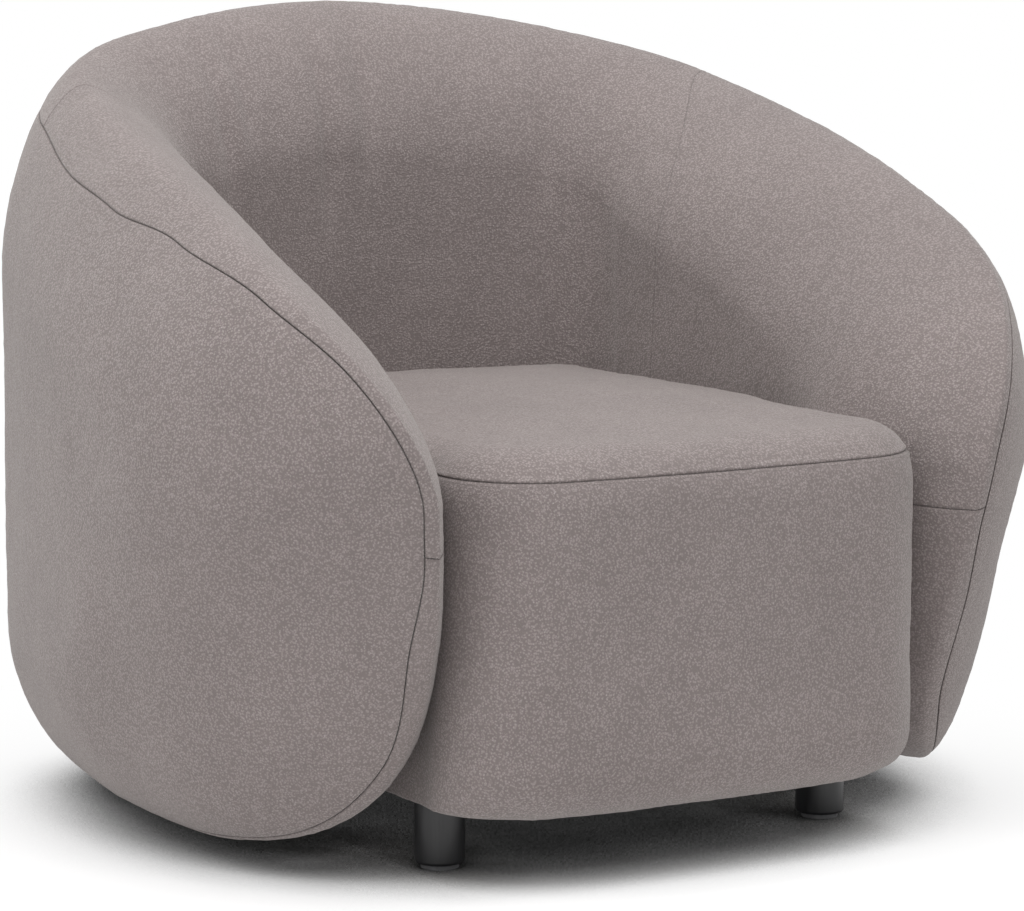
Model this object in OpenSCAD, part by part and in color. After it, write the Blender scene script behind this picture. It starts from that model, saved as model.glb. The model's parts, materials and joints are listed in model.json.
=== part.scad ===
// Tub chair: a padded shell that wraps round a fixed seat block, on four short round legs.
// Millimetres. The floor is z = 0, the chair faces -Y and +X is the arm on the right seen from the front.
// Every skin of the shell is drawn flat first (run along the shell, height) and then wrapped
// round one plan path, so the covers, the foam, the boards and the posts all share that path.

/* [Overall] */
// Height of the rim at the middle of the back
rim_h = 745; // [700:1:800]
// Lowest point of the shell above the floor
shell_low = 22; // [18:1:40]
// Height at which the arm reaches furthest forward, also the level of the seam across it
tip_h = 337; // [300:1:380]

/* [Plan path of the shell] */
// Depth position of the shell's middle line behind the chair's centre
back_y = 348; // [320:1:370]
// Radius of the path behind the sitter
back_r = 700; // [600:5:900]
// Angle turned on that radius
back_turn = 19; // [14:0.5:24]
// Radius of the path round the back corner
corner_r = 175; // [165:1:220]
// Angle turned on that radius
corner_turn = 59.6; // [52:0.5:64]
// Radius of the path along the arm
arm_r = 1337; // [1100:10:1700]
// Angle turned on that radius
arm_turn = 12.8; // [9:0.5:15]
// Radius on which the front of the arm curls in
curl_r = 244; // [200:1:300]
// Length of the path from the middle of the back to the arm's tip
run_tip = 971; // [940:1:1010]

/* [Rim outline, drawn flat] */
// Fullness of the rim along its run
rim_run_p = 1.87; // [1.8:0.01:2.4]
// Fullness of the rim in height
rim_rise_p = 1.81; // [1.5:0.01:2.4]
// Extra run of the shoulder
shoulder_run = 7; // [0:1:40]
// Drop of the shoulder
shoulder_drop = 17.4; // [0:1:40]
// Rise of the arm in front of the shoulder, with the same dip behind it
arm_rise = 36; // [20:1:60]
// Squareness of the lower front corner along its run
low_run_p = 12.3; // [4:0.5:14]
// Squareness of the lower front corner in height
low_rise_p = 3.1; // [2:0.1:7]
// Distance from the tip to the end of the flat middle of the arm
tip_reach = 195; // [180:1:240]

/* [Padding] */
// Outward thickness from the path on the back
out_back = 58; // [50:1:80]
// Outward thickness from the path on the arms
out_arm = 91; // [84:1:102]
// Inward thickness from the path on the back
in_back = 87; // [75:1:100]
// Inward thickness from the path on the arms
in_arm = 124; // [110:1:135]
// Depth of the roll inside the rim on the back
roll_in = 150; // [90:1:160]
// Depth of the roll inside the rim at the arm's tip
roll_in_tip = 190; // [120:1:210]
// Depth of the roll outside the rim at the top
roll_top = 188; // [140:1:230]
// Depth of the roll outside at the bottom
roll_low = 148; // [120:1:240]
// Depth of the roll outside towards the arm's tip, at the height of the rim
roll_tip = 32; // [20:1:120]
// Depth of the roll outside towards the arm's tip, at the bottom
roll_tip_low = 378; // [260:1:380]
// Distance by which the rim line stands out from the path at the arm's tip
nose_out = 31; // [0:1:60]
// The same distance at the foot of the arm's front, negative where it lies inside the path
nose_low = -14.0; // [-60:1:20]
// Share of the run at which the rim line starts to leave the path
nose_from = 0.66; // [0.4:0.01:0.8]
// Roundness of every roll of the shell
roll_p = 1.61; // [1.4:0.01:2.6]

/* [Seams and cloth] */
// Run of the two seams that cross the rim
seam_run = 415; // [380:1:440]
// Distance of the outer panel's seam from the rim line
seam_in = 28; // [18:1:36]
// Thickness of the cover cloth with its lining
cloth_t = 2.5; // [2:0.1:4]
// Gap between two pieces of cloth at a seam
seam_gap = 0.5; // [0.3:0.1:1]
// Gap between the cloth and the foam below it
cloth_gap = 0.7; // [0.3:0.1:1]
// Gap between one block of foam and the next
foam_gap = 0.6; // [0.4:0.1:1.5]

/* [Seat] */
// Height of the seat's upper face at its edge
seat_h = 382; // [350:1:430]
// Rise of the seat's upper face at its middle
seat_crown = 14; // [6:1:24]
// Height of the seat's underside
seat_low = 56; // [48:1:64]
// Height of the seam round the seat
seat_seam_h = 356; // [320:1:370]
// Distance from the arm's tip to the end of the seat's side that keeps to the shell
seat_short = 78; // [66:1:100]
// Length of the seat's straight side beside the arm's tip
seat_side = 44.0; // [25:1:70]
// Radius on which the seat's side turns out again in front of the arm
seat_waist_r = 117; // [90:1:160]
// Angle turned on that radius
seat_waist_turn = 20; // [10:0.5:26]
// Radius of the seat's front corners in plan
seat_corner_r = 74; // [66:1:90]
// Bow of the seat's front, in degrees each side of the middle
seat_bow = 5; // [3:0.5:10]
// Radius of the seat's upper edge
seat_roll_top = 54; // [36:1:64]
// Radius of the seat's lower edge at the front
seat_roll_low = 60; // [40:1:70]
// Radius of the seat's lower edge beside the legs
seat_roll_side = 3.5; // [3:0.5:8]
// Height at which the seat's side is set out from the foot of the arm's front
seat_clear_h = 130.0; // [60:1:300]
// Gap between the seat block and the shell
seat_gap = 3; // [2:0.5:5]
// Height at which the seat foam starts, on the webbing
seat_foam_z = 234; // [220:1:260]

/* [Frame] */
// Half of the depth kept for the frame inside the shell
core_half = 26; // [24:1:30]
// Distance from the rim to the frame
core_in = 74; // [70:1:90]
// Height of the base board's underside
board_z = 62; // [58:1:68]
// Thickness of the base board
board_t = 18; // [15:1:22]
// Gap between two wooden pieces
wood_gap = 0.3; // [0.2:0.1:0.6]
// Thickness of the bent liner boards
liner_t = 3; // [2:0.5:5]
// Width of a post along the shell
post_w = 30; // [24:1:40]
// Distance from the seat's front to the front rail
rail_in = 28; // [26:1:34]
// Thickness of the seat rails
rail_t = 20; // [16:1:24]
// Height of the seat rails' upper edge
rail_top = 228; // [210:1:240]
// Thickness of one webbing strap
strap_t = 1.8; // [1.2:0.1:3]
// Width of one webbing strap
strap_w = 50; // [40:1:70]

/* [Legs] */
// Diameter of a leg
leg_d = 45; // [38:0.5:52]
// Rounding of a leg's lower edge
leg_round = 3; // [1:0.5:6]
// Distance of the front legs from the middle plane
leg_x = 202; // [180:1:220]
// Depth position of the front legs
leg_front_y = -250; // [-280:1:-240]
// Depth position of the rear legs
leg_rear_y = 214; // [190:1:225]
// Distance of the rear legs from the middle plane
leg_rear_x = 202; // [190:1:220]
// Height of a glide under a leg
glide_t = 4; // [2:0.5:6]
// Diameter of a glide
glide_d = 34; // [26:1:40]
// Diameter of the leg bolts
bolt_d = 8; // [6:1:10]
// Gap round a bolt or a screw in its hole
bolt_gap = 0.4; // [0.3:0.1:1]
// Diameter of the frame screws
screw_d = 5; // [4:0.5:6]

/* [Hidden] */
deg = 180/PI;
seat_follow = run_tip - seat_short;
len1 = back_r*back_turn/deg;
len2 = corner_r*corner_turn/deg;
len3 = arm_r*arm_turn/deg;
cloth = [0.55, 0.51, 0.50];
foam = [0.93, 0.88, 0.72];
wood = [0.80, 0.66, 0.46];
black = [0.08, 0.08, 0.08];
steel = [0.70, 0.71, 0.73];

// plan path: position and direction after an arc of radius r and length t
function walk(p, r, t) = let (b = p[2] + t/r*deg)
  [p[0] + r*(sin(b) - sin(p[2])), p[1] + r*(cos(b) - cos(p[2])), b];
function along(a) = walk(walk(walk(walk([0, back_y, 0], back_r, min(a, len1)), corner_r, min(max(a - len1, 0), len2)),
  arm_r, min(max(a - len1 - len2, 0), len3)), curl_r, max(a - len1 - len2 - len3, 0));
// flat point (run, height, distance outward) to its place on the chair
function wrap(s, z, d) = let (p = along(abs(s)))
  [(s < 0 ? -1 : 1)*(p[0] + d*sin(p[2])), p[1] + d*cos(p[2]), z];

// flat outline of the shell at angle f, inset by t, moved in height by dz
function rim_pt(f, t, dz) = let (c = cos(f), q = sin(f), b = pow(sin(2*f), 2)) f >= 0 ?
  [(run_tip - t)*pow(c, 2/rim_run_p) + shoulder_run*b,
   tip_h + dz + (rim_h - tip_h - t)*pow(q, 2/rim_rise_p) + (arm_rise*cos(2*f) - shoulder_drop)*b] :
  [(run_tip - t)*pow(c, 2/low_run_p),
   tip_h + dz - (tip_h - shell_low - t)*pow(-q, 2/low_rise_p)];
// rim height above a run
function rim_z(s) = lookup(abs(s), [for (i = [90:-1:0]) let (p = rim_pt(i, 0, 0)) [p[0], p[1]]]);
// angles that share a stretch of the outline out evenly; w crowds the samples towards a
function bend(a, b, u, w) = a + (b - a)*pow(u, w);
function table(a, b, n, w) = [for (v = [0, 0]; v[1] <= n; v = [v[0] +
  norm(rim_pt(bend(a, b, min(v[1] + 1, n)/n, w), 0, 0) - rim_pt(bend(a, b, v[1]/n, w), 0, 0)), v[1] + 1])
  [v[0], v[1]/n]];
function even(a, b, n, w) = let (t = table(a, b, 80, w)) [for (i = [0:n]) bend(a, b, lookup(t[80][0]*i/n, t), w)];
n_back = 5;
n_arm = 12;
n_col = n_back + n_arm;
seam_f = lookup(-seam_run, [for (i = [0:90]) [-rim_pt(i, 0, 0)[0], i]]);
up_a = even(90, seam_f, n_back, rim_run_p/2);
up_b = even(seam_f, 0, n_arm, 1);
up_f = [for (i = [0:n_col]) i < n_back ? up_a[i] : up_b[i - n_back]];
low_f = even(-90, -0.0001, n_col, low_run_p/2);
// run of the middle line under each column of the outline
function mid_run(i) = let (s = rim_pt(up_f[i], 0, 0)[0])
  s <= seam_run ? s : seam_run + (s - seam_run)*(run_tip - tip_reach - seam_run)/(run_tip - seam_run);
function roll(e, r) = e >= r ? 1 : pow(1 - pow(1 - max(e, 0)/r, roll_p), 1/roll_p);
// distance of the rim line from the path at a point of the outline
function stand_off(o) = ease((o[0]/run_tip - nose_from)/(1 - nose_from))*
  (nose_low + (nose_out - nose_low)*min(max((o[1] - shell_low)/(tip_h - shell_low), 0), 1));
function ease(x) = let (u = min(max(x, 0), 1)) u*u*(3 - 2*u);
// inward thickness at a run
function in_at(s) = in_back + (in_arm - in_back)*ease((s - 150)/370);

// One point of the shell. Column c may be negative for the left half, h is the upper (1) or the
// lower (-1) half, e the distance in from the outline (-1 for the middle line, -2 for the last
// row before it), side is
// outward (1) or inward (-1), t the inset, flat a fixed distance from the path instead of the roll,
// ds a shift along the run and dz a shift in height.
function shell(c, h, e, side, t, flat, ds, dz) =
  let (i = abs(c), o = rim_pt(h > 0 ? up_f[i] : low_f[i], t, dz), m = [mid_run(i), tip_h + dz],
    l = norm(m - o), f = e == -1 ? 1 : e < 0 ? (1 + 180/l)/2 : min(e/l, 1), q = o + (m - o)*f, g = f*l,
    w = (o[1] - shell_low)/(rim_h - shell_low), u = ease((o[0]/run_tip - 0.6)/0.4),
    r = (roll_low + (roll_top - roll_low)*w)*(1 - u) +
      (roll_tip_low + (roll_tip - roll_tip_low)*w)*u - t,
    k = out_back + (out_arm - out_back)*ease(q[0]/(0.7*run_tip)) - t,
    v = stand_off(o), a = 0.8 + v, b = 0.8 - v,
    d = flat != 0 ? flat + v*max(0, 1 - g/core_in) : side > 0 ? a + (k - a)*roll(g, r) :
      -b - (in_at(q[0]) - t - b)*roll(g, roll_in + (roll_in_tip - roll_in)*u - t))
  wrap((c < 0 ? -1 : 1)*(q[0] + 0.0001) + ds, q[1], d);

// closed solid between two grids of points with the same rows; zip joins the two halves of the
// last column, where upper and lower rows meet at the arm's tip. Rows before lo and from hi on
// have their facets cut the other way, and so does the left half of a piece that spans both sides.
function strip(p, q, n) = [[p, q + n, p + n], [p, q, q + n]];
module slab(a, b, zip = false, lo = 0, hi = 99, both = false) {
  ni = len(a); nk = len(a[0]); n = ni*nk; mid = (nk - 1)/2;
  function id(i, k) = (zip && i == ni - 1 && k > mid) ? i*nk + nk - 1 - k : i*nk + k;
  pts = concat([for (r = a) for (p = r) p], [for (r = b) for (p = r) p]);
  top = [for (i = [0:ni - 2]) for (k = [0:nk - 2]) for (t = (k >= lo && k < hi) != (both && i < (ni - 1)/2) ?
    [[id(i, k), id(i + 1, k + 1), id(i, k + 1)], [id(i, k), id(i + 1, k), id(i + 1, k + 1)]] :
    [[id(i, k), id(i + 1, k), id(i, k + 1)], [id(i + 1, k), id(i + 1, k + 1), id(i, k + 1)]]) t];
  bot = [for (f = top) [f[0] + n, f[2] + n, f[1] + n]];
  rows = [for (i = [0:ni - 2]) for (t = concat(strip(id(i + 1, 0), id(i, 0), n),
    strip(id(i, nk - 1), id(i + 1, nk - 1), n))) t];
  cols = [for (k = [0:nk - 2]) for (t = concat(strip(id(0, k), id(0, k + 1), n),
    zip ? [] : [for (f = strip(id(ni - 1, k), id(ni - 1, k + 1), n)) [f[0], f[2], f[1]]])) t];
  polyhedron(points = pts, faces = concat(top, bot, rows, cols));
}

// rows that run from the outer seam over the rim and down the inside
in_e = [0, 11, 30, 66, 112, 180];
edge = [[seam_in - seam_gap/2, 1], [9, 1]];
over = concat(edge, [for (e = in_e) [e, -1]], [[-1, -1]]);
band = concat(edge, [[0, -1], [11, -1], [21, -1]]);
function over_grid(cs, h, t, rs) = [for (c = cs) [for (r = rs)
  shell(c[0], h, r[0], r[1], t, 0, c[1], h*seam_gap/2)]];
module over_cover(cs, h, rs = over) {
  two = cs[0][0] < 0;
  if (h > 0) slab(over_grid(cs, h, 0, rs), over_grid(cs, h, cloth_t, rs), lo = 2, both = two);
  else slab(over_grid(cs, h, cloth_t, rs), over_grid(cs, h, 0, rs), lo = 2, both = two);
}
// columns with a shift of half a gap at each end
function cols(a, b, g) = [for (c = [a:b]) [c, c == a ? g/2 : c == b ? -g/2 : 0]];
function cols_tip(a, g) = [for (c = [a:n_col]) [c, c == a ? g/2 : 0]];
m_low = n_back + 6;

module inner_back_cover() color(cloth) over_cover(cols(-n_back, n_back, seam_gap), 1);
module inner_arm_cover() color(cloth) over_cover(cols_tip(n_back, seam_gap), 1);
module inner_arm_cover_right() inner_arm_cover();
module inner_arm_cover_left() mirror([1, 0, 0]) inner_arm_cover();
module lower_arm_cover() color(cloth) over_cover(cols_tip(m_low, seam_gap), -1);
module lower_arm_cover_right() lower_arm_cover();
module lower_arm_cover_left() mirror([1, 0, 0]) lower_arm_cover();
module under_band() color(cloth) over_cover(cols(-m_low, m_low, seam_gap), -1, band);

// rows of the whole outer face, from the upper outline to the lower one
out_e = [seam_in + seam_gap/2, 62, 112, 180];
out_rows = concat([for (e = out_e) [1, e]], [[1, -2], [1, -1], [-1, -2]],
  [for (i = [len(out_e) - 1:-1:0]) [-1, out_e[i]]]);
out_mid = (len(out_rows) - 1)/2;
function out_grid(cs, t) = [for (c = cs) [for (r = out_rows) shell(c[0], r[0], r[1], 1, t, 0, c[1], 0)]];
module outer_cover() color(cloth) slab(out_grid(cols_tip(0, seam_gap), cloth_t),
  out_grid(cols_tip(0, seam_gap), 0), true, hi = out_mid);
module outer_cover_right() outer_cover();
module outer_cover_left() mirror([1, 0, 0]) outer_cover();

// foam: a skin just inside the cloth and a flat face against the frame
skin_t = cloth_t + cloth_gap;
foam_e = [0, 9, 28, 62, 112, 180];
function base_d(h, e) = (e >= 0 && e < (h > 0 ? 50 : 5)) ? foam_gap/2 : core_half;
all_rows = concat([for (e = foam_e) [1, e]], [[1, -2], [1, -1], [-1, -2]],
  [for (i = [len(foam_e) - 1:-1:0]) [-1, foam_e[i]]]);
up_rows = concat([for (e = in_e) [1, e]], [[1, -1]]);
low_rows = concat([for (e = in_e) [-1, e]], [[-1, -1]]);
function skin_grid(cs, rows, side, dz) = [for (c = cs) [for (r = rows)
  shell(c[0], r[0], r[1], side, skin_t, 0, c[1], dz)]];
function base_grid(cs, rows, side, dz) = [for (c = cs) [for (r = rows)
  shell(c[0], r[0], r[1], side, skin_t, side*base_d(r[0], r[1]), c[1], dz)]];
module foam_out(cs, zip) color(foam)
  slab(base_grid(cs, all_rows, 1, 0), skin_grid(cs, all_rows, 1, 0), zip, hi = (len(all_rows) - 1)/2, both = !zip);
module foam_in(cs, rows, dz) color(foam) {
  two = cs[0][0] < 0;
  if (rows[0][0] > 0) slab(skin_grid(cs, rows, -1, dz), base_grid(cs, rows, -1, dz), both = two);
  else slab(base_grid(cs, rows, -1, dz), skin_grid(cs, rows, -1, dz), both = two);
}
module outer_back_foam() foam_out(cols(-n_back, n_back, foam_gap), false);
module outer_arm_foam() foam_out(cols_tip(n_back, foam_gap), true);
module outer_arm_foam_right() outer_arm_foam();
module outer_arm_foam_left() mirror([1, 0, 0]) outer_arm_foam();
module inner_back_foam() foam_in(cols(-n_back, n_back, foam_gap), up_rows, foam_gap/2);
module inner_arm_foam() foam_in(cols_tip(n_back, foam_gap), up_rows, foam_gap/2);
module inner_arm_foam_right() inner_arm_foam();
module inner_arm_foam_left() mirror([1, 0, 0]) inner_arm_foam();
module arm_front_foam() foam_in(cols_tip(m_low, foam_gap), low_rows, -foam_gap/2);
module arm_front_foam_right() arm_front_foam();
module arm_front_foam_left() mirror([1, 0, 0]) arm_front_foam();

// seat plan: it keeps a gap to the inside of the shell as far as the arm's tip, then come a straight
// side, a turn out in front of the arm, a front corner and a bowed front
function rim_run(s) = s <= seam_run ? s :
  min(run_tip, seam_run + (s - seam_run)*(run_tip - seam_run)/(run_tip - tip_reach - seam_run));
function seat_base(s) = let (p = along(s), b = 0.8 - stand_off([rim_run(s), seat_clear_h]),
  d = b + (in_at(s) - b)*roll(1.08*(run_tip - s), roll_in_tip) + seat_gap)
  [p[0] - d*sin(p[2]), p[1] - d*cos(p[2])];
function seat_head(s) = let (v = seat_base(s + 1) - seat_base(s - 1)) atan2(-v[1], v[0]);
function seat_shell(s, t) = let (p = seat_base(s), h = seat_head(s)) [p[0] - t*sin(h), p[1] - t*cos(h), h];
side_head = seat_head(seat_follow);
// stretches after the shell: radius and angle of each
seat_arcs0 = [[0, 0], [9999, seat_side/9999*deg], [-seat_waist_r, seat_waist_turn],
  [seat_corner_r, 180 - seat_bow - side_head + seat_waist_turn]];
function seat_end(k) = k == 0 ? seat_shell(seat_follow, 0) :
  walk(seat_end(k - 1), seat_arcs0[k][0], abs(seat_arcs0[k][0])*seat_arcs0[k][1]/deg);
front_r = seat_end(3)[0]/sin(seat_bow);
seat_arcs = concat(seat_arcs0, [[front_r, seat_bow]]);
// station [stretch, fraction, sign] at inset t and height z
function seat_walk(k, f, t) = k == 0 ? seat_shell(seat_follow*f, t) :
  let (p = seat_walk(k - 1, 1, t), r = seat_arcs[k][0] - t) walk(p, r, abs(r)*seat_arcs[k][1]*f/deg);
function seat_pt(st, t, z) = let (p = seat_walk(st[0], st[1], t)) [st[2]*p[0], p[1], z];
half = concat([for (i = [0:17]) [0, i/18]], [[1, 0]], [for (i = [0:2]) [2, i/3]],
  [for (i = [0:5]) [3, i/6]], [for (i = [0:2]) [4, i/3]]);
loop = concat([for (s = half) [s[0], s[1], 1]], [[4, 1, 1]],
  [for (i = [len(half) - 1:-1:1]) [half[i][0], half[i][1], -1]]);
function cap(e, r) = e >= r ? 1 : pow(1 - pow(1 - max(e, 0)/r, 2.2), 1/2.2);
// radius of the lower edge at a station, and the inset of the seat's side at a height
function low_r(st) = st[0] == 4 ? seat_roll_low :
  seat_roll_side + (st[0] == 3 ? (seat_roll_low - seat_roll_side)*ease(st[1]*1.5) : 0);
// beside the legs the cloth ends just above them, and towards the front it turns under the seat
function low_z(st) = st[0] == 4 ? seat_low : board_z + wood_gap -
  (st[0] == 3 ? (board_z + wood_gap - seat_low)*ease(st[1]*1.5) : 0);
function side_in(st, t, z) = let (r = low_r(st) - t) t + r*(1 - cap(z - low_z(st) - t, r));
mid_y = -46;
// inset of the upper edge's roll at a height, inside an inset of t
function roll_e(z, t) = let (u = min(max((z - seat_h + seat_roll_top)/(seat_roll_top - t), 0), 1))
  (seat_roll_top - t)*(1 - pow(1 - pow(u, 2.2), 1/2.2));
seam_e = roll_e(seat_seam_h + seam_gap/2, 0);
// rows up the seat: [inset on the roll, share of the way to the middle]; the first two are on the side
top_rows = [[0, 0], [0, 0], [seam_e, 0], [12, 0], [24, 0], [38, 0], [seat_roll_top, 0],
  [seat_roll_top, 0.35], [seat_roll_top, 0.75]];
function seat_ring(j, t, z0) = let (f = top_rows[j][1], e = j == 2 ? roll_e(seat_seam_h + seam_gap/2, t) : top_rows[j][0]*(1 - t/seat_roll_top),
  z = j == 0 ? z0 : j == 2 ? seat_seam_h + seam_gap/2 : seat_h - seat_roll_top + (seat_roll_top - t)*(j == 1 ? 0 : cap(e, seat_roll_top - t))
    + seat_crown*(1 - pow(1 - f, 2)))
  [for (s = loop) let (p = seat_pt(s, t + e, z)) [p[0]*(1 - f), p[1] + (mid_y - p[1])*f, p[2]]];
// closed tub of rings: side faces between rings, a flat lid on the last one
module rings(rs, floor_too) {
  n = len(rs[0]); m = len(rs);
  side = [for (j = [0:m - 2]) for (i = [0:n - 1]) let (k = (i + 1)%n) for (t =
    [[j*n + i, j*n + k, (j + 1)*n + k], [j*n + i, (j + 1)*n + k, (j + 1)*n + i]]) t];
  polyhedron(points = [for (r = rs) for (p = r) p], faces = concat(side,
    [[for (i = [0:n - 1]) (m - 1)*n + i]], [[for (i = [n - 1:-1:0]) i]]));
}
function quad(a, b, c, d) = [[a, b, c], [a, c, d]];
// the cloth over the seat: rings up the outside, then down the inside to the same lower edge
module seat_top_cover() color(cloth) {
  j9 = len(top_rows) - 3; n = len(loop);
  outer = [for (j = [0:j9]) seat_ring(j + 2, 0, 0)];
  inner = [for (j = [0:j9]) seat_ring(j + 2, cloth_t, 0)];
  o = n*(j9 + 1);
  skin = [for (j = [0:j9 - 1]) for (i = [0:n - 1]) let (k = (i + 1)%n)
    for (t = quad(j*n + i, j*n + k, (j + 1)*n + k, (j + 1)*n + i)) t];
  back = [for (j = [0:j9 - 1]) for (i = [0:n - 1]) let (k = (i + 1)%n)
    for (t = quad(o + j*n + k, o + j*n + i, o + (j + 1)*n + i, o + (j + 1)*n + k)) t];
  hem = [for (i = [0:n - 1]) let (k = (i + 1)%n) for (t = quad(i, o + i, o + k, k)) t];
  polyhedron(points = [for (r = concat(outer, inner)) for (p = r) p],
    faces = concat(skin, back, hem, [[for (i = [0:n - 1]) j9*n + i]],
    [[for (i = [n - 1:-1:0]) o + j9*n + i]]));
}
module seat_foam() color(foam) rings([for (j = [0:len(top_rows) - 1])
  seat_ring(j, skin_t, seat_foam_z)], true);

// the cloth and the foam across the seat's front, from the left side round to the right
front_half = concat([[0, 8/9], [0, 17/18], [1, 0], [2, 0], [2, 1/3], [2, 2/3]], [for (i = [0:5]) [3, i/6]], [for (i = [0:2]) [4, i/3]]);
front = concat([for (s = front_half) [s[0], s[1], 1]], [[4, 1, 1]],
  [for (i = [len(front_half) - 1:-1:0]) [front_half[i][0], front_half[i][1], -1]]);
// heights down the front, first the ones on the upper roll
front_top = [seat_seam_h - seam_gap/2, 343, 330, 230];
front_z = [1, 0.55, 0.38, 0.1, 0.015];
function front_col(s, t) = let (r = low_r(s)) concat(
  [for (z = front_top) seat_pt(s, t + roll_e(z, t), z)],
  [for (u = front_z) seat_pt(s, t + (r - t)*(1 - cap(u*(r - t), r - t)), low_z(s) + t + u*(r - t))],
  [seat_pt(s, r + (s[0] < 3 ? 0.5 : 0.5 + 5.5*ease(2*s[1])), low_z(s) + t)]);
module seat_front_cover() color(cloth) slab([for (s = front) front_col(s, cloth_t)],
  [for (s = front) front_col(s, 0)]);
// the foam behind it is thin beside the legs and thick round the corners and the front
foam_z = [seat_foam_z - foam_gap, 160, seat_low + seat_roll_low, 90, board_z + board_t + foam_gap];
function foam_back(s) = s[0] == 4 ? 27 : s[0] < 3 ? 8 : 8 + 19*ease(3*s[1]);
module seat_front_foam() color(foam) slab(
  [for (s = front) [for (z = foam_z) seat_pt(s, foam_back(s), z)]],
  [for (s = front) [for (z = foam_z) seat_pt(s, side_in(s, skin_t, z), z)]]);

// wooden frame
board_top = board_z + board_t;
post_half = core_half - 10;
function core_top(s) = rim_z(s) - core_in*(1 + 0.6*pow(s/800, 2));
board_run = 800;
function path2(s, d) = let (p = wrap(s, 0, d)) [p[0], p[1]];
function seat2(k, f, t) = let (p = seat_walk(k, f, t)) [p[0], p[1]];
front_cy = seat_walk(4, 1, 0)[1] + front_r;
function front_y(x, t) = front_cy - sqrt(pow(front_r - t, 2) - x*x);
function mirrored(ps) = [for (i = [len(ps) - 1:-1:0]) [-ps[i][0], ps[i][1]]];
board_half = concat([for (i = [0:32]) path2(board_run*i/32, post_half)],
  [for (i = [0:3]) path2(board_run - 21*i, -post_half)], [path2(737, -70)],
  [for (f = [0.83, 0.88, 0.93, 0.97]) seat2(0, f, 7)], [seat2(1, 0, 7)], [seat2(2, 0, 7), seat2(2, 0.5, 7)],
  [for (i = [0:6]) seat2(3, i/6, [9, 20, 33, 39, 39, 39, 39][i])], [for (i = [1:3]) seat2(4, i/3, 39)]);
board_line = concat(board_half, mirrored([for (i = [1:len(board_half) - 2]) board_half[i]]));
dust_half = concat([for (i = [0:24]) path2(720*i/24, -32)], [path2(720, -70)],
  [for (f = [0.82, 0.9, 0.96]) seat2(0, f, 32)], [seat2(1, 0, 32)], [seat2(2, 0, 32), seat2(2, 0.5, 36)],
  [for (i = [0:5]) seat2(3, i/5, i == 0 ? 42 : i == 1 ? 55 : 70)], [for (i = [1:3]) seat2(4, i/3, 72)]);
dust_line = concat(dust_half, mirrored([for (i = [1:len(dust_half) - 2]) dust_half[i]]));
legs_at = [[-leg_x, leg_front_y], [leg_x, leg_front_y], [-leg_rear_x, leg_rear_y], [leg_rear_x, leg_rear_y]];
// the side rails run from the front rail to the rear rail and open out towards the rear
side_a = [150, front_y(150, rail_in + rail_t) + 2];
rear_y = leg_rear_y;
side_b = [176, rear_y + 22];
side_len = norm(side_b - side_a);
side_ang = atan2(side_b[0] - side_a[0], side_b[1] - side_a[1]);
function side_at(f) = side_a + (side_b - side_a)*f;
function side_half(y) = side_a[0] + (side_b[0] - side_a[0])*(y - side_a[1])/(side_b[1] - side_a[1]);
screws_at = [for (k = [-1, 1]) for (f = [0.3, 0.55, 0.85]) [k*side_at(f)[0], side_at(f)[1]]];
nut_r = 5;
module base_board() color(wood) translate([0, 0, board_z]) linear_extrude(board_t) difference() {
  polygon(board_line);
  for (p = legs_at) translate(p) circle(nut_r + bolt_gap, $fn = 32);
  for (p = screws_at) translate(p) circle(screw_d/2 + bolt_gap, $fn = 24);
}
module dust_cover() color(black) translate([0, 0, board_z - 1.8]) linear_extrude(1) difference() {
  polygon(dust_line);
  for (p = legs_at) translate(p) circle(leg_d/2 + 1.5, $fn = 48);
}
module post(s) {
  p = along(abs(s));
  z = core_top(abs(s) + 15) - 16 - wood_gap - board_top - wood_gap;
  translate([(s < 0 ? -1 : 1)*p[0], p[1], board_top + wood_gap]) rotate(s < 0 ? p[2] : -p[2])
    translate([-post_w/2, 1.5 - post_half, 0]) cube([post_w, 2*post_half - 3, z]);
}
module back_posts() color(wood) for (s = [-320, -160, 0, 160, 320]) post(s);
module arm_posts_right() color(wood) for (s = [480, 640, 784]) post(s);
module arm_posts_left() color(wood) for (s = [-480, -640, -784]) post(s);
// bent board that follows the path between two distances, with upper and lower edge by run
module bent(d0, d1, top, low) {
  n = len(top) - 1;
  function s(i) = -board_run + 2*board_run*i/n;
  slab([for (i = [0:n]) [wrap(s(i), low[i], d1), wrap(s(i), top[i], d1)]],
    [for (i = [0:n]) [wrap(s(i), low[i], d0), wrap(s(i), top[i], d0)]]);
}
runs = [for (i = [0:48]) -board_run + 2*board_run*i/48];
module top_rail() color(wood) bent(-post_half, post_half, [for (s = runs) core_top(s)],
  [for (s = runs) core_top(s) - 16]);
liner_low = [for (s = runs) board_top + wood_gap];
module outer_liner() color(wood) bent(post_half + 0.9, post_half + 0.9 + liner_t,
  [for (s = runs) core_top(s)], [for (s = runs) board_top + wood_gap]);
module inner_liner() color(wood) bent(-post_half - 0.9 - liner_t, -post_half - 0.9,
  [for (s = runs) core_top(s)], [for (s = runs) board_top + wood_gap]);
rail_z = board_top + wood_gap;
rail_h = rail_top - rail_z;
front_line = concat([for (i = [2:6]) seat2(3, i/6, rail_in)], [for (i = [1:3]) seat2(4, i/3, rail_in)]);
front_back = concat([for (i = [2:6]) seat2(3, i/6, rail_in + rail_t)],
  [for (i = [1:3]) seat2(4, i/3, rail_in + rail_t)]);
function ends(ps) = [for (i = [1:len(ps) - 1]) ps[i]];
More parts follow.
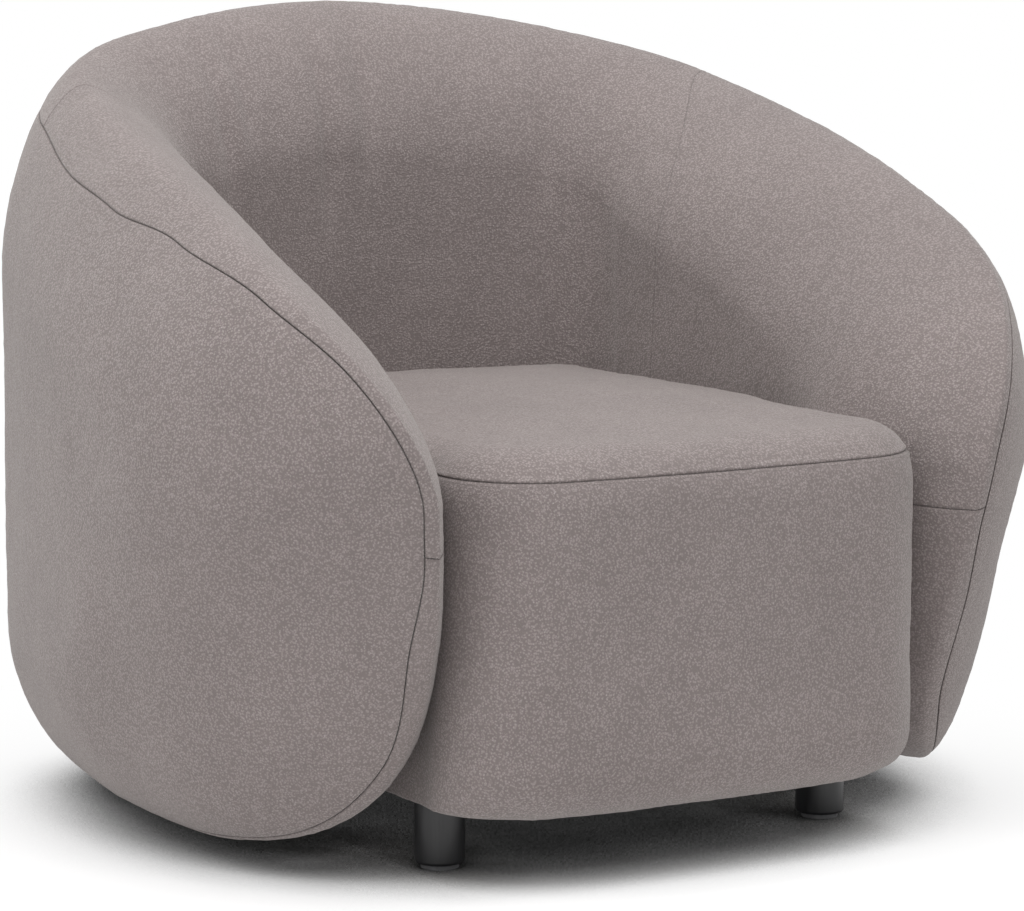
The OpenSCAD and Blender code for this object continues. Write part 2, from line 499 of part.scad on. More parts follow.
module front_rail() color(wood) translate([0, 0, rail_z]) linear_extrude(rail_h)
  polygon(concat(front_line, ends(mirrored(front_line)), [for (i = [0:len(front_back) - 1])
    [-front_back[i][0], front_back[i][1]]], ends(mirrored([for (p = front_back) [-p[0], p[1]]]))));
module screw_holes() for (p = screws_at) translate([p[0], p[1], board_z])
  cylinder(h = 62, r = screw_d/2 + bolt_gap, $fn = 24);
module side_rail(k) color(wood) difference() {
  translate([k*side_a[0], side_a[1], rail_z]) rotate(-k*side_ang)
    translate([-rail_t/2, 0, 0]) cube([rail_t, side_len, rail_h]);
  screw_holes();
}
module side_rail_right() side_rail(1);
module side_rail_left() side_rail(-1);
rear_half = side_half(rear_y) - rail_t/2 - 1;
module rear_rail() color(wood) translate([-rear_half, rear_y, rail_z]) cube([2*rear_half, rail_t, rail_h]);
block = 40;
module corner_blocks() color(wood) for (k = [-1, 1]) {
  translate([k*(rear_half - 4) - (k > 0 ? block : 0), rear_y - block - wood_gap, rail_z]) cube([block, block, 60]);
  translate([k*(side_a[0] - rail_t/2 - 5) - (k > 0 ? block : 0), side_a[1], rail_z]) cube([block, block, 60]);
}
module webbing_long() color(black) for (x = [-124, -62, 0, 62, 124])
  translate([x - strap_w/2, front_y(abs(x) + strap_w/2, 33), rail_top + wood_gap])
    cube([strap_w, rear_y + rail_t - 2 - front_y(abs(x) + strap_w/2, 33), strap_t]);
module webbing_cross() color(black) for (i = [0:6]) let (y = side_a[1] + 65 + i*(rear_y - 90 - side_a[1])/6)
  translate([-side_half(y - strap_w/2) - 7, y - strap_w/2, rail_top + 2*wood_gap + strap_t])
    cube([2*side_half(y - strap_w/2) + 14, strap_w, strap_t]);
module frame_screws() color(steel) for (p = screws_at) translate([p[0], p[1], board_z + 1])
  cylinder(h = 58, r = screw_d/2, $fn = 20);
module tee_nuts() color(steel) for (p = legs_at) translate([p[0], p[1], 0]) difference() {
  union() {
    translate([0, 0, board_top + wood_gap]) cylinder(h = 1.6, r = 11, $fn = 40);
    translate([0, 0, board_top - 14]) cylinder(h = 14 + wood_gap + 0.5, r = nut_r, $fn = 32);
  }
  translate([0, 0, board_top - 20]) cylinder(h = 40, r = bolt_d/2 + bolt_gap, $fn = 32);
}
module leg_bolts() color(steel) for (p = legs_at) translate([p[0], p[1], board_z - 28])
  cylinder(h = 58, r = bolt_d/2, $fn = 32);

// legs
leg_top = board_z - wood_gap;
module leg(x, y) color(black) translate([x, y, 0]) difference() {
  rotate_extrude($fn = 64) polygon([[0, glide_t], [leg_d/2 - leg_round, glide_t],
    [leg_d/2 - leg_round*0.3, glide_t + leg_round*0.3], [leg_d/2, glide_t + leg_round],
    [leg_d/2, leg_top], [0, leg_top]]);
  translate([0, 0, board_z - 30]) cylinder(h = 40, r = bolt_d/2 + bolt_gap, $fn = 32);
  cylinder(h = glide_t + 12, r = 2 + bolt_gap, $fn = 24);
}
module leg_front_left() leg(-leg_x, leg_front_y);
module leg_front_right() leg(leg_x, leg_front_y);
module leg_rear_left() leg(-leg_rear_x, leg_rear_y);
module leg_rear_right() leg(leg_rear_x, leg_rear_y);
module glide(x, y) color([0.3, 0.3, 0.3]) translate([x, y, 0]) union() {
  cylinder(h = glide_t - 0.2, r = glide_d/2, $fn = 48);
  translate([0, 0, 1]) cylinder(h = glide_t + 9, r = 2, $fn = 24);
}
module glide_front_left() glide(-leg_x, leg_front_y);
module glide_front_right() glide(leg_x, leg_front_y);
module glide_rear_left() glide(-leg_rear_x, leg_rear_y);
module glide_rear_right() glide(leg_rear_x, leg_rear_y);

inner_back_cover();
inner_arm_cover_left();
inner_arm_cover_right();
lower_arm_cover_left();
lower_arm_cover_right();
outer_cover_left();
outer_cover_right();
under_band();
seat_top_cover();
seat_front_cover();
dust_cover();
inner_back_foam();
inner_arm_foam_left();
inner_arm_foam_right();
arm_front_foam_left();
arm_front_foam_right();
outer_back_foam();
outer_arm_foam_left();
outer_arm_foam_right();
seat_foam();
seat_front_foam();
base_board();
back_posts();
arm_posts_left();
arm_posts_right();
top_rail();
outer_liner();
inner_liner();
front_rail();
side_rail_left();
side_rail_right();
rear_rail();
corner_blocks();
webbing_long();
webbing_cross();
frame_screws();
tee_nuts();
leg_bolts();
leg_front_left();
leg_front_right();
leg_rear_left();
leg_rear_right();
glide_front_left();
glide_front_right();
glide_rear_left();
glide_rear_right();
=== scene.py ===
# %% [markdown]
# # A tub chair in curly wool cloth
# The chair is a padded shell that wraps round a fixed seat block and stands on four short black legs.
# The solids of the part are loaded first and stay where they are. Everything soft is then made again
# here with smooth skins, because the solids only have a few flat facets. Lengths in the cells are in
# millimetres, as a pattern cutter would write them, and become metres when a mesh is made.

# %% Load the frame
import bisect
import functools
import json
import math

import bmesh
import bpy
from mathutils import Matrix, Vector, noise

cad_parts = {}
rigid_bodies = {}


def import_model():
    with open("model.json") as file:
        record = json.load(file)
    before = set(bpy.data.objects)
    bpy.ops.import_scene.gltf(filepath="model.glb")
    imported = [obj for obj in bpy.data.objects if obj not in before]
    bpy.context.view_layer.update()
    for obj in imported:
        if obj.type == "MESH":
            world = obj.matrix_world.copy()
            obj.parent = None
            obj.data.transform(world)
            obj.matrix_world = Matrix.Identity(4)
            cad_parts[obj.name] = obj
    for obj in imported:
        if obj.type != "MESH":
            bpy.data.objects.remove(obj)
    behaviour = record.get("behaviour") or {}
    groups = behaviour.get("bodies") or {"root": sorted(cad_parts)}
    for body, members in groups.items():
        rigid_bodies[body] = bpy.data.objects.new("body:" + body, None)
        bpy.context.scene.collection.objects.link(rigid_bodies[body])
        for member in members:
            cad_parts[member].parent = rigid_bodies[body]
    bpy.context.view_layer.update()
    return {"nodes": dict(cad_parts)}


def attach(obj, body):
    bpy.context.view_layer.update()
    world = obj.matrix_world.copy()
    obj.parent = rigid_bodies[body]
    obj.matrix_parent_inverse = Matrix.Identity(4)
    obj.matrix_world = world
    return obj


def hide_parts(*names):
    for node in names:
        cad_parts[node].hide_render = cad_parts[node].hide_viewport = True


for leftover in list(bpy.data.objects):
    bpy.data.objects.remove(leftover)
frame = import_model()
MM = 0.001

# %% [markdown]
# ## The camera
# The picture was taken with a long lens from a little above the seat, off to the chair's left. The lens is
# long, so the legs and the rim hardly spread. The camera comes first.

# %% Place the camera
CAMERA_PLACE = (-1.8618, -3.2522, 0.827)
CAMERA_TURN = -30.0
CAMERA_DIP = 7.671
LENS = 140.03

camera_data = bpy.data.cameras.new("camera")
camera_data.lens = LENS
camera_data.sensor_width = 36.0
camera = bpy.data.objects.new("camera", camera_data)
camera.location = CAMERA_PLACE
camera.rotation_euler = (math.radians(90.0 - CAMERA_DIP), 0.0, math.radians(CAMERA_TURN))
bpy.context.scene.collection.objects.link(camera)
bpy.context.scene.camera = camera
bpy.context.scene.view_settings.view_transform = "Standard"
print("camera", CAMERA_PLACE, "lens", LENS)

# %% [markdown]
# ## The path of the shell
# Seen from above, the wall of a tub chair follows one line: a slack curve behind the sitter, a tight one
# round each back corner, a long one down each arm and a curl at the front. A real workshop bends a
# board along that line. Here the line is four arcs laid end to end, so any run along it gives a place and
# a heading. It could also be a drawn curve, but arcs keep the curvature exact.

# %% Walk along the plan path
# The arcs are (radius, degrees) of the back, the back corner and the arm. The curl takes the rest of the run.
BACK_Y = 348.0
ARCS = ((700.0, 19.0), (175.0, 59.6), (1337.0, 12.8))
CURL_R = 298.0
RUN_TIP = 982.8


def walk(x, y, head, radius, length):
    """Place and heading after an arc."""
    after = head + length / radius
    return (x + radius * (math.sin(after) - math.sin(head)),
            y + radius * (math.cos(after) - math.cos(head)), after)


def along(run, curl=CURL_R):
    """Place and heading on the path, so far from the middle of the back."""
    x, y, head = 0.0, BACK_Y, 0.0
    for radius, turn in ARCS:
        length = min(run, radius * math.radians(turn))
        x, y, head = walk(x, y, head, radius, length)
        run -= length
    return walk(x, y, head, curl, run)


def wrap(run, height, out):
    """A point of the flat pattern, so far outward from the path, in its place on the chair."""
    x, y, head = along(abs(run))
    side = -1.0 if run < 0 else 1.0
    return Vector((side * (x + out * math.sin(head)), y + out * math.cos(head), height))


print("arm's tip at", [round(v, 1) for v in wrap(RUN_TIP, 0, 0)])

# %% [markdown]
# ## The flat pattern of the shell
# Unrolled, the wall has one outline: high at the back, a soft shoulder, then a long fall into a round
# nose near the floor. The outline is two quarter curves, one above and one below the seam that crosses
# the arm. The samples are shared out by length, so the cloth's grid stays even.

# %% The outline of the pattern
RIM_H, SHELL_LOW, TIP_H = 745.0, 22.0, 337.0
RIM_RUN_P, RIM_RISE_P = 1.83, 1.81
SHOULDER_RUN, SHOULDER_DROP, ARM_RISE = 7.0, 17.4, 31.1
LOW_RUN_P, LOW_RISE_P = 13.0, 2.44
TIP_REACH = 195.0
SEAM_RUN = 415.0
BACK_COLUMNS, ARM_COLUMNS, LOW_COLUMN = 5, 12, 11
NOSE_END = 17.55
COLUMNS = BACK_COLUMNS + ARM_COLUMNS
TABLE_STEPS = 600


def outline(turn, sink=0.0, lift=0.0):
    """Run and height of the outline. The turn goes from a quarter at the rim through 0 at the nose."""
    c, q = max(math.cos(turn), 0.0), math.sin(turn)
    bulge = math.sin(2.0 * turn) ** 2
    if turn >= 0.0:
        return ((RUN_TIP - sink) * c ** (2.0 / RIM_RUN_P) + SHOULDER_RUN * bulge,
                TIP_H + lift + (RIM_H - TIP_H - sink) * q ** (2.0 / RIM_RISE_P)
                + (ARM_RISE * math.cos(2.0 * turn) - SHOULDER_DROP) * bulge)
    return ((RUN_TIP - sink) * c ** (2.0 / LOW_RUN_P),
            TIP_H + lift - (TIP_H - SHELL_LOW - sink) * (-q) ** (2.0 / LOW_RISE_P))


def shared_out(start, end, crowd):
    """A table of (length so far, turn) along a stretch of the outline."""
    table, length = [(0.0, start)], 0.0
    for i in range(TABLE_STEPS):
        a = start + (end - start) * (i / TABLE_STEPS) ** crowd
        b = start + (end - start) * ((i + 1) / TABLE_STEPS) ** crowd
        length += math.dist(outline(a), outline(b))
        table.append((length, b))
    return table


def turn_at(table, share):
    """The turn at a share of a table's length."""
    goal = table[-1][0] * min(max(share, 0.0), 1.0)
    i = max(1, bisect.bisect_left(table, (goal, -9.0)))
    i = min(i, len(table) - 1)
    (l0, t0), (l1, t1) = table[i - 1], table[i]
    return t0 + (t1 - t0) * ((goal - l0) / (l1 - l0) if l1 > l0 else 0.0)


seam_turn = next(t / 1000.0 for t in range(1571, 0, -1) if outline(t / 1000.0)[0] >= SEAM_RUN)
RIM_BACK = shared_out(math.pi / 2, seam_turn, RIM_RUN_P / 2)
RIM_ARM = shared_out(seam_turn, 0.0, 1.0)
LOW_ALL = shared_out(-math.pi / 2, -1e-9, LOW_RUN_P / 2)


@functools.lru_cache(None)
def rim_turn(column):
    """The turn on the upper outline under a column of the pattern."""
    if column < BACK_COLUMNS:
        return turn_at(RIM_BACK, column / BACK_COLUMNS)
    return turn_at(RIM_ARM, (column - BACK_COLUMNS) / ARM_COLUMNS)


@functools.lru_cache(None)
def low_turn(column):
    return turn_at(LOW_ALL, column / COLUMNS)


print("rim", round(RIM_BACK[-1][0]), "+", round(RIM_ARM[-1][0]), "mm,",
      "lower edge", round(LOW_ALL[-1][0]), "mm")

# %% [markdown]
# ## Padding on the pattern
# Foam is thickest in the middle of a panel and rolls away to nothing at the edge, as a superellipse does.
# Out of the flat pattern and this depth comes every point of the shell: a run, a height and a distance
# from the path. The inside is plumper on the arms than on the back. At the nose the rim line itself
# stands off the path, outwards at the top and inwards at the bottom, which makes the nose's broad front.

# %% Depth of the padding
# ROLL values say how far in from the edge the padding rolls, and values ending in P are powers of the
# superellipse. NOSE values are the stand-off at its top and bottom, its top's height and where it starts.
OUT_BACK, OUT_ARM, IN_BACK, IN_ARM = 58.0, 87.0, 87.0, 125.0
ROLL_IN, ROLL_IN_TIP = 150.0, 183.8
ROLL_TOP, ROLL_LOW, ROLL_TIP, ROLL_TIP_LOW = 178.3, 137.3, 119.0, 485.4
ROLL_P, ROLL_P_NOSE, ROLL_P_CORNER = 1.61, 2.36, 1.76
NOSE_OUT, NOSE_LOW, NOSE_TOP, NOSE_FROM = 63.0, -25.9, 425.0, 0.73
IN_FROM, IN_OVER = 150.0, 370.0
OUT_FULL, TIP_FROM, FLAT_FROM = 0.7, 0.6, 0.45
LEAST = 0.8
CORE_IN = 74.0


def ease(x):
    """A smooth step from 0 to 1."""
    u = min(max(x, 0.0), 1.0)
    return u * u * (3.0 - 2.0 * u)


def roll(inset, radius, power=ROLL_P):
    """Share of the full depth at a distance in from the edge."""
    if inset >= radius:
        return 1.0
    return (1.0 - (1.0 - max(inset, 0.0) / radius) ** power) ** (1.0 / power)


def nose_share(edge):
    """0 along most of the rim, 1 at the nose."""
    return ease((edge[0] / RUN_TIP - NOSE_FROM) / (1.0 - NOSE_FROM))


def stand_off(edge):
    """How far the rim line itself stands out from the path towards the arm's nose."""
    high = ease((edge[1] - SHELL_LOW) / (NOSE_TOP - SHELL_LOW))
    return nose_share(edge) * (NOSE_LOW + (NOSE_OUT - NOSE_LOW) * high)


def in_depth(run):
    return IN_BACK + (IN_ARM - IN_BACK) * ease((run - IN_FROM) / IN_OVER)


@functools.lru_cache(None)
def middle_run(column):
    """Run of the pattern's middle line under a column."""
    run = outline(rim_turn(column))[0]
    if run <= SEAM_RUN:
        return run
    return SEAM_RUN + (run - SEAM_RUN) * (RUN_TIP - TIP_REACH - SEAM_RUN) / (RUN_TIP - SEAM_RUN)


def pattern_column(column, upper, inside=False):
    """Turn on the outline and run on the middle line. Upper columns past the nose go on down the
    lower outline, and all of them end at the same point of the middle line. On the inside, the lower
    columns are spread so that the last one before the seam ends there too."""
    if upper and column > COLUMNS:
        return low_turn(2 * COLUMNS - column), middle_run(COLUMNS)
    if inside and not upper and column > LOW_COLUMN:
        spread = (column - LOW_COLUMN) * (COLUMNS - LOW_COLUMN) / (2 * COLUMNS - NOSE_END - LOW_COLUMN)
        return low_turn(column), middle_run(LOW_COLUMN + spread)
    return (rim_turn(column) if upper else low_turn(column)), middle_run(column)


def shell(column, upper, share, outside, sink=0.0, flat=None, slide=0.0, lift=0.0, extra=None):
    """A point of the shell: share is the way in from the outline (0) to the middle line (1). sink takes
    cloth off the skin, flat asks for a back at that depth instead, and slide and lift keep pads apart."""
    c = abs(column)
    turn, middle_at = pattern_column(c, upper, not outside)
    edge = outline(turn, sink, lift)
    middle = (middle_at, TIP_H + lift)
    run = edge[0] + (middle[0] - edge[0]) * share
    height = edge[1] + (middle[1] - edge[1]) * share
    inset = math.dist(edge, middle) * share
    high = (edge[1] - SHELL_LOW) / (RIM_H - SHELL_LOW)
    nose = ease((edge[0] / RUN_TIP - TIP_FROM) / (1.0 - TIP_FROM))
    stand = stand_off(edge)
    if outside:
        radius = (ROLL_LOW + (ROLL_TOP - ROLL_LOW) * high) * (1.0 - nose) \
            + (ROLL_TIP_LOW + (ROLL_TIP - ROLL_TIP_LOW) * high) * nose - sink
        full = OUT_BACK + (OUT_ARM - OUT_BACK) * ease(run / (OUT_FULL * RUN_TIP)) - sink
        power = ROLL_P + (ROLL_P_CORNER - ROLL_P) * nose_share(edge)
        flatter = ease((share - FLAT_FROM) / (1.0 - FLAT_FROM))
        rolled = roll(inset, radius, power) * (1.0 - flatter) + flatter
        depth = LEAST + stand + (full - LEAST - stand) * rolled
    else:
        radius = ROLL_IN + (ROLL_IN_TIP - ROLL_IN) * nose - sink
        power = ROLL_P + (ROLL_P_NOSE - ROLL_P) * nose_share(edge)
        depth = stand - LEAST - (in_depth(run) - sink - LEAST + stand) * roll(inset, radius, power)
        if extra:
            depth -= extra(run if column >= 0 else -run, height) * roll(inset, radius)
    if flat is not None:
        bare = flat + stand * max(0.0, 1.0 - inset / CORE_IN)
        depth = min(bare, depth) if outside else max(bare, depth)
    return wrap((-1.0 if column < 0 else 1.0) * run + slide, height, depth)


@functools.lru_cache(None)
def reach(column, upper):
    """Distance from the outline to the middle line under a column."""
    turn, middle_at = pattern_column(abs(column), upper)
    return math.dist(outline(turn), (middle_at, TIP_H))


print("depth of the wall at the back", OUT_BACK + IN_BACK, "and at the arm", OUT_ARM + IN_ARM)

# %% [markdown]
# ## How a pad is sewn
# Every pad is a closed form: a skin, the walls at its seams, and a back that lies against the frame or
# against the next pad. The skin is a grid whose corners are moved to their places. The cloth is tucked in
# where it meets a seam, so two pads meet in a small valley, and a closer grid there keeps it crisp.
# A simulation of the cloth was left out: this cover is drawn tight over firm foam, and its form is known.

# %% Make one pad
TUCK_REACH, TUCK_DEPTH = 3.2, 0.7
CLOTH = 2.5
BESIDE_SEAM = (0.0, 1.2, 2.6, 4.3, 6.4, 9.5)
SEAM_SIGHT, SEAM_AWAY = 60.0, 99.0
SWELL_FROM = 8.0
LUMPS = ((14.0, 1.1), (45.0, 0.35), (150.0, 0.55))
MERGE = 2e-5


def stops(length, step, seam_start=False, seam_end=False):
    """Shares from 0 to 1 along a length, closer together beside a seam."""
    start = list(BESIDE_SEAM) if seam_start else [0.0]
    end = [length - c for c in reversed(BESIDE_SEAM)] if seam_end else [length]
    a, b = start[-1], end[0]
    n = max(1, round((b - a) / step))
    middle = [a + (b - a) * i / n for i in range(1, n)]
    return [x / length for x in start + middle + end]


def tuck(distance):
    """How far the cloth sinks at a distance from a seam."""
    if distance >= TUCK_REACH:
        return 0.0
    return TUCK_DEPTH * (1.0 - math.sqrt(max(0.0, 1.0 - (1.0 - distance / TUCK_REACH) ** 2)))


def lumps(p):
    """The small unevenness of foam and curly cloth, in millimetres."""
    return sum(noise.noise(p * scale) * size for scale, size in LUMPS)


def seam_closeness(places, seams):
    """For every corner of a grid, its distance in millimetres from the nearest seam. A seam can lie on the
    start or end column, or on the first or last row."""
    ni, nj = len(places), len(places[0])
    near = [[SEAM_AWAY] * nj for _ in range(ni)]
    lines = []
    if "start" in seams:
        lines += [[(i, j) for i in range(ni)] for j in range(nj)]
    if "end" in seams:
        lines += [[(i, j) for i in reversed(range(ni))] for j in range(nj)]
    if "first" in seams:
        lines += [[(i, j) for j in range(nj)] for i in range(ni)]
    if "last" in seams:
        lines += [[(i, j) for j in reversed(range(nj))] for i in range(ni)]
    for line in lines:
        gone = 0.0
        for k, (i, j) in enumerate(line):
            if k:
                a, b = line[k - 1]
                gone += (places[i][j] - places[a][b]).length
            if gone > SEAM_SIGHT:
                break
            near[i][j] = min(near[i][j], gone)
    return near


def finish_mesh(bm, name):
    """Closes a mesh, turns it outwards and makes it an object at the origin."""
    bmesh.ops.remove_doubles(bm, verts=bm.verts, dist=MERGE)
    bmesh.ops.recalc_face_normals(bm, faces=bm.faces)
    mesh = bpy.data.meshes.new(name)
    bm.to_mesh(mesh)
    bm.free()
    mesh.shade_smooth()
    piece = bpy.data.objects.new(name, mesh)
    bpy.context.scene.collection.objects.link(piece)
    return piece


def make_pad(name, columns, rows, skin, back, seams=(), hidden_rows=0, mirrored=False, folded=False):
    """A closed pad from a skin and a back over the same grid. Where back gives None, it lies one cloth
    under the skin. hidden_rows at each end lie under the next pad and aren't tucked. The last column of a
    folded pad runs out and back along one line."""
    bm = bmesh.new()
    bmesh.ops.create_grid(bm, x_segments=len(columns) - 1, y_segments=len(rows) - 1, size=1.0)
    number = bm.verts.layers.int.new("number")
    near_layer = bm.verts.layers.float.new("seam")
    fold = bm.verts.layers.int.new("fold")
    number = bm.verts.layers.int["number"]  # a new layer moves the older one
    bm.verts.index_update()
    ni, nj = len(columns), len(rows)
    grid = [[None] * nj for _ in range(ni)]
    for v in bm.verts:
        grid[round((v.co.x + 1) / 2 * (ni - 1))][round((v.co.y + 1) / 2 * (nj - 1))] = v
    places = [[skin(c, r) for r in rows] for c in columns]
    backs = [[back(c, r) for r in rows] for c in columns]
    for i in range(ni):
        for j in range(nj):
            grid[i][j].co = places[i][j] * MM
    bm.normal_update()
    inner = [line[hidden_rows:nj - hidden_rows] if hidden_rows else line for line in places]
    near = seam_closeness(inner, seams)
    i, j = ni // 2, nj * 2 // 3  # a corner of the inside, to tell which way the normals look
    inward = Vector((0, 0, 1)) if backs[i][j] is None else backs[i][j] - places[i][j]
    turned = -1.0 if grid[i][j].normal.dot(inward) > 0 else 1.0
    moved = {}
    for i in range(ni):
        for j in range(nj):
            v, jj = grid[i][j], j - hidden_rows
            normal = v.normal * turned
            if folded and i == ni - 1:
                normal = ((v.normal + grid[i][nj - 1 - j].normal) * turned).normalized()
            shown = 0 <= jj < len(inner[0])
            distance = near[i][jj] if shown else 0.0
            sink = tuck(distance) if shown else 0.0
            swell = lumps(places[i][j] * MM) * min(1.0, distance / SWELL_FROM)
            v[near_layer] = distance
            v[number] = v.index
            v[fold] = 1 if folded and i == ni - 1 else 0
            v.co = (places[i][j] + normal * (swell - sink)) * MM
            under = places[i][j] - normal * (CLOTH + sink * 0.4)
            moved[v.index] = (under if backs[i][j] is None else backs[i][j]) * MM
    made = bmesh.ops.extrude_face_region(bm, geom=list(bm.faces), use_keep_orig=True)
    for v in made["geom"]:
        if isinstance(v, bmesh.types.BMVert):
            v.co = moved[v[number]]
    if folded:
        walls = [f for f in bm.faces if all(v[fold] for v in f.verts)]
        bmesh.ops.delete(bm, geom=walls, context="FACES_ONLY")
    bm.verts.layers.int.remove(number)
    bm.verts.layers.int.remove(bm.verts.layers.int["fold"])
    if mirrored:
        bmesh.ops.scale(bm, vec=(-1, 1, 1), verts=bm.verts)
    piece = finish_mesh(bm, name)
    print(name, len(piece.data.polygons), "faces")
    return piece


# %% [markdown]
# ## The skins of the shell
# The cloth comes over the rim from the inside and meets the outer panel a finger's width down the
# outside. A row of the pattern is therefore a signed share: below 0 it lies on the outside of the rim, above
# 0 on the inside. The rows are closest at the rim, where the cloth bends most.

# %% Rows over the rim
# SEAM_LINE gives (column, distance from the rim line to the outer seam).
SEAM_LINE = ((0.0, 38.0), (5.0, 39.0), (7.0, 44.0), (9.0, 38.0), (11.0, 24.0), (13.0, 13.5), (14.7, 8.0),
             (16.5, 9.0), (17.6, 10.0), (19.0, 19.0), (20.5, 10.0), (22.5, 3.0), (34.0, 1.5))
SEAM_SLANT, SLANT_REACH, SLANT_COLUMNS = 1.6, 52.0, 8.0
OUTSIDE_ROWS = (1.0, 0.955, 0.9, 0.84, 0.76, 0.64, 0.48, 0.33, 0.2, 0.1, 0.04)
CORE = 26.0
BARE = 0.3
BARE_TOP, BARE_LOW = 50.0, 5.0
SKIN = 3.2


def seam_in(column):
    """Distance of the outer seam from the rim line; columns past the nose count on down the lower edge."""
    c = abs(column)
    for (a, x), (b, y) in zip(SEAM_LINE, SEAM_LINE[1:]):
        if c <= b:
            return x + (y - x) * ease((c - a) / (b - a))
    return SEAM_LINE[-1][1]


def over_rows(column, upper, step=6.5):
    """Rows of a pad: outside the rim as negative shares of the seam's distance, inside as shares of the
    way to the middle line."""
    n = round(reach(column, upper) / step)
    return [-x for x in OUTSIDE_ROWS] + [0.1 * (i / n) + 0.9 * (i / n) ** 1.6 for i in range(n + 1)]


def slanted(column, upper, row):
    """The upright seam on the inside leans away from the middle of the back as it goes down."""
    c = abs(column)
    if upper and row > 0.0:
        lean = SEAM_SLANT * (1.0 - math.exp(-row * reach(c, upper) / SLANT_REACH))
        if c <= BACK_COLUMNS:
            part = (c / BACK_COLUMNS) ** 2
        else:
            part = 1.0 - ease((c - BACK_COLUMNS) / SLANT_COLUMNS)
        c += lean * part
    return -c if column < 0 else c


def over_skin(upper, extra=None):
    """Skin of a pad that comes over the rim."""
    def place(column, row):
        column = slanted(column, upper, row)
        c, lift = abs(column), BARE if upper else -BARE
        if row < 0:
            out = seam_in(c if upper else 2 * COLUMNS - c)
            return shell(column, upper, -row * out / reach(c, upper), True, lift=lift)
        return shell(column, upper, row, False, lift=lift, extra=extra)
    return place


def over_back(upper):
    """Back of such a pad: bare wood near the rim, then the foam against the posts."""
    def place(column, row):
        column = slanted(column, upper, row)
        if row < 0:
            return None
        flat = -BARE if row * reach(column, upper) < (BARE_TOP if upper else BARE_LOW) else -CORE
        return shell(column, upper, row, False, sink=CLOTH, flat=flat, lift=BARE if upper else -BARE)
    return place


def columns_between(a, b, length, step=6.5, seam_start=True, seam_end=True):
    return [a + (b - a) * x for x in stops(length, step, seam_start, seam_end)]


# PUCKERS gives (run, width, lowest and highest point, depth) of each fold, which fades at both ends.
FADE_BELOW, FADE_ABOVE = 90.0, 60.0
PUCKERS = ((-185.0, 10.0, 530.0, 700.0, -6.5), (-150.0, 9.0, 580.0, 710.0, -5.0),
           (-48.0, 9.0, 500.0, 710.0, -7.0), (4.0, 8.0, 550.0, 715.0, -5.0),
           (-22.0, 11.0, 540.0, 710.0, 3.5), (-166.0, 9.0, 540.0, 700.0, 3.0),
           (222.0, 10.0, 520.0, 700.0, -5.0))


def puckers(run, height):
    """The soft folds that the cloth makes where it is drawn over the rim of the back."""
    depth = 0.0
    for place, width, low, high, size in PUCKERS:
        fade = ease((height - low) / FADE_BELOW) * (1.0 - ease((height - high) / FADE_ABOVE))
        depth += size * fade * math.exp(-((run - place) / width) ** 2)
    return depth


pads = {}
pads["inner_back"] = make_pad("inner_back", columns_between(-BACK_COLUMNS, BACK_COLUMNS, 900.0),
                              over_rows(2, True), over_skin(True, puckers), over_back(True),
                              seams=("start", "end", "first"))
for kind, upper, start, end, length, model in (
        ("inner_arm_", True, BACK_COLUMNS, NOSE_END, 760.0, 10),
        ("lower_arm_", False, LOW_COLUMN, 2 * COLUMNS - NOSE_END, 420.0, 14)):
    for side in ("right", "left"):
        name = kind + side
        pads[name] = make_pad(name, columns_between(start, end, length), over_rows(model, upper),
                              over_skin(upper), over_back(upper),
                              seams=("start", "end", "first", "last"), mirrored=side == "left")

# %% [markdown]
# ## The outer panels
# One large panel on each side runs from a seam down the middle of the back round to the arm's nose, where
# its upper and lower edges meet. Its grid therefore folds shut in the last column, and the doubles that
# this leaves are merged. The first and last rows lie under the cloth that comes over the rim. Rows are
# named by where they lie: under that cloth, near the seam, or far from it.

# %% Outer panels
OUTER_STEP = 7.0
UNDER_ROWS = (0.0, 0.45, 0.97)
NEAR_ROWS = (0.25, 1.6, 3.2, 5.2, 8.0)
FAR_ROWS = 48


def outer_rows():
    """(upper, kind, value) from the rim down to the lower edge; under rows lie below the turned cloth."""
    half = [("far", i / FAR_ROWS) for i in range(1, FAR_ROWS + 1)]
    start = [("under", x) for x in UNDER_ROWS] + [("near", x) for x in NEAR_ROWS]
    upper = [(True, *row) for row in start + half]
    return upper + [(False, *row) for row in (start + half[:-1])[::-1]]


def outer_share(column, row):
    upper, kind, value = row
    length = reach(column, upper)
    seam = seam_in(column if upper else 2 * COLUMNS - column)
    if kind == "under":
        return seam * value / length
    if kind == "near":
        return (seam + value) / length
    near = seam + NEAR_ROWS[-1]
    return (near + (length - near) * value) / length


def outer_skin(column, row):
    return shell(column, row[0], outer_share(column, row), True, sink=SKIN if row[1] == "under" else 0.0,
                 slide=BARE if column == 0 else 0.0)


def outer_back(column, row):
    share = outer_share(column, row)
    inset = share * reach(column, row[0])
    towards_nose = ease((column - LOW_COLUMN) / (COLUMNS - LOW_COLUMN))
    narrow = BARE_TOP if row[0] else BARE_LOW + (BARE_TOP - BARE_LOW) * towards_nose
    flat = BARE if inset < narrow else CORE
    return shell(column, row[0], share, True, sink=SKIN, flat=flat, slide=BARE if column == 0 else 0.0)


for side in ("right", "left"):
    name = "outer_panel_" + side
    pads[name] = make_pad(name, columns_between(0, COLUMNS, 1150.0, OUTER_STEP, True, False), outer_rows(),
                          outer_skin, outer_back, seams=("start", "first", "last"),
                          hidden_rows=len(UNDER_ROWS), mirrored=side == "left", folded=True)

# %% [markdown]
# ## The band under the shell
# Between the two arm fronts a narrow band closes the lower edge. It is stapled under the base board.

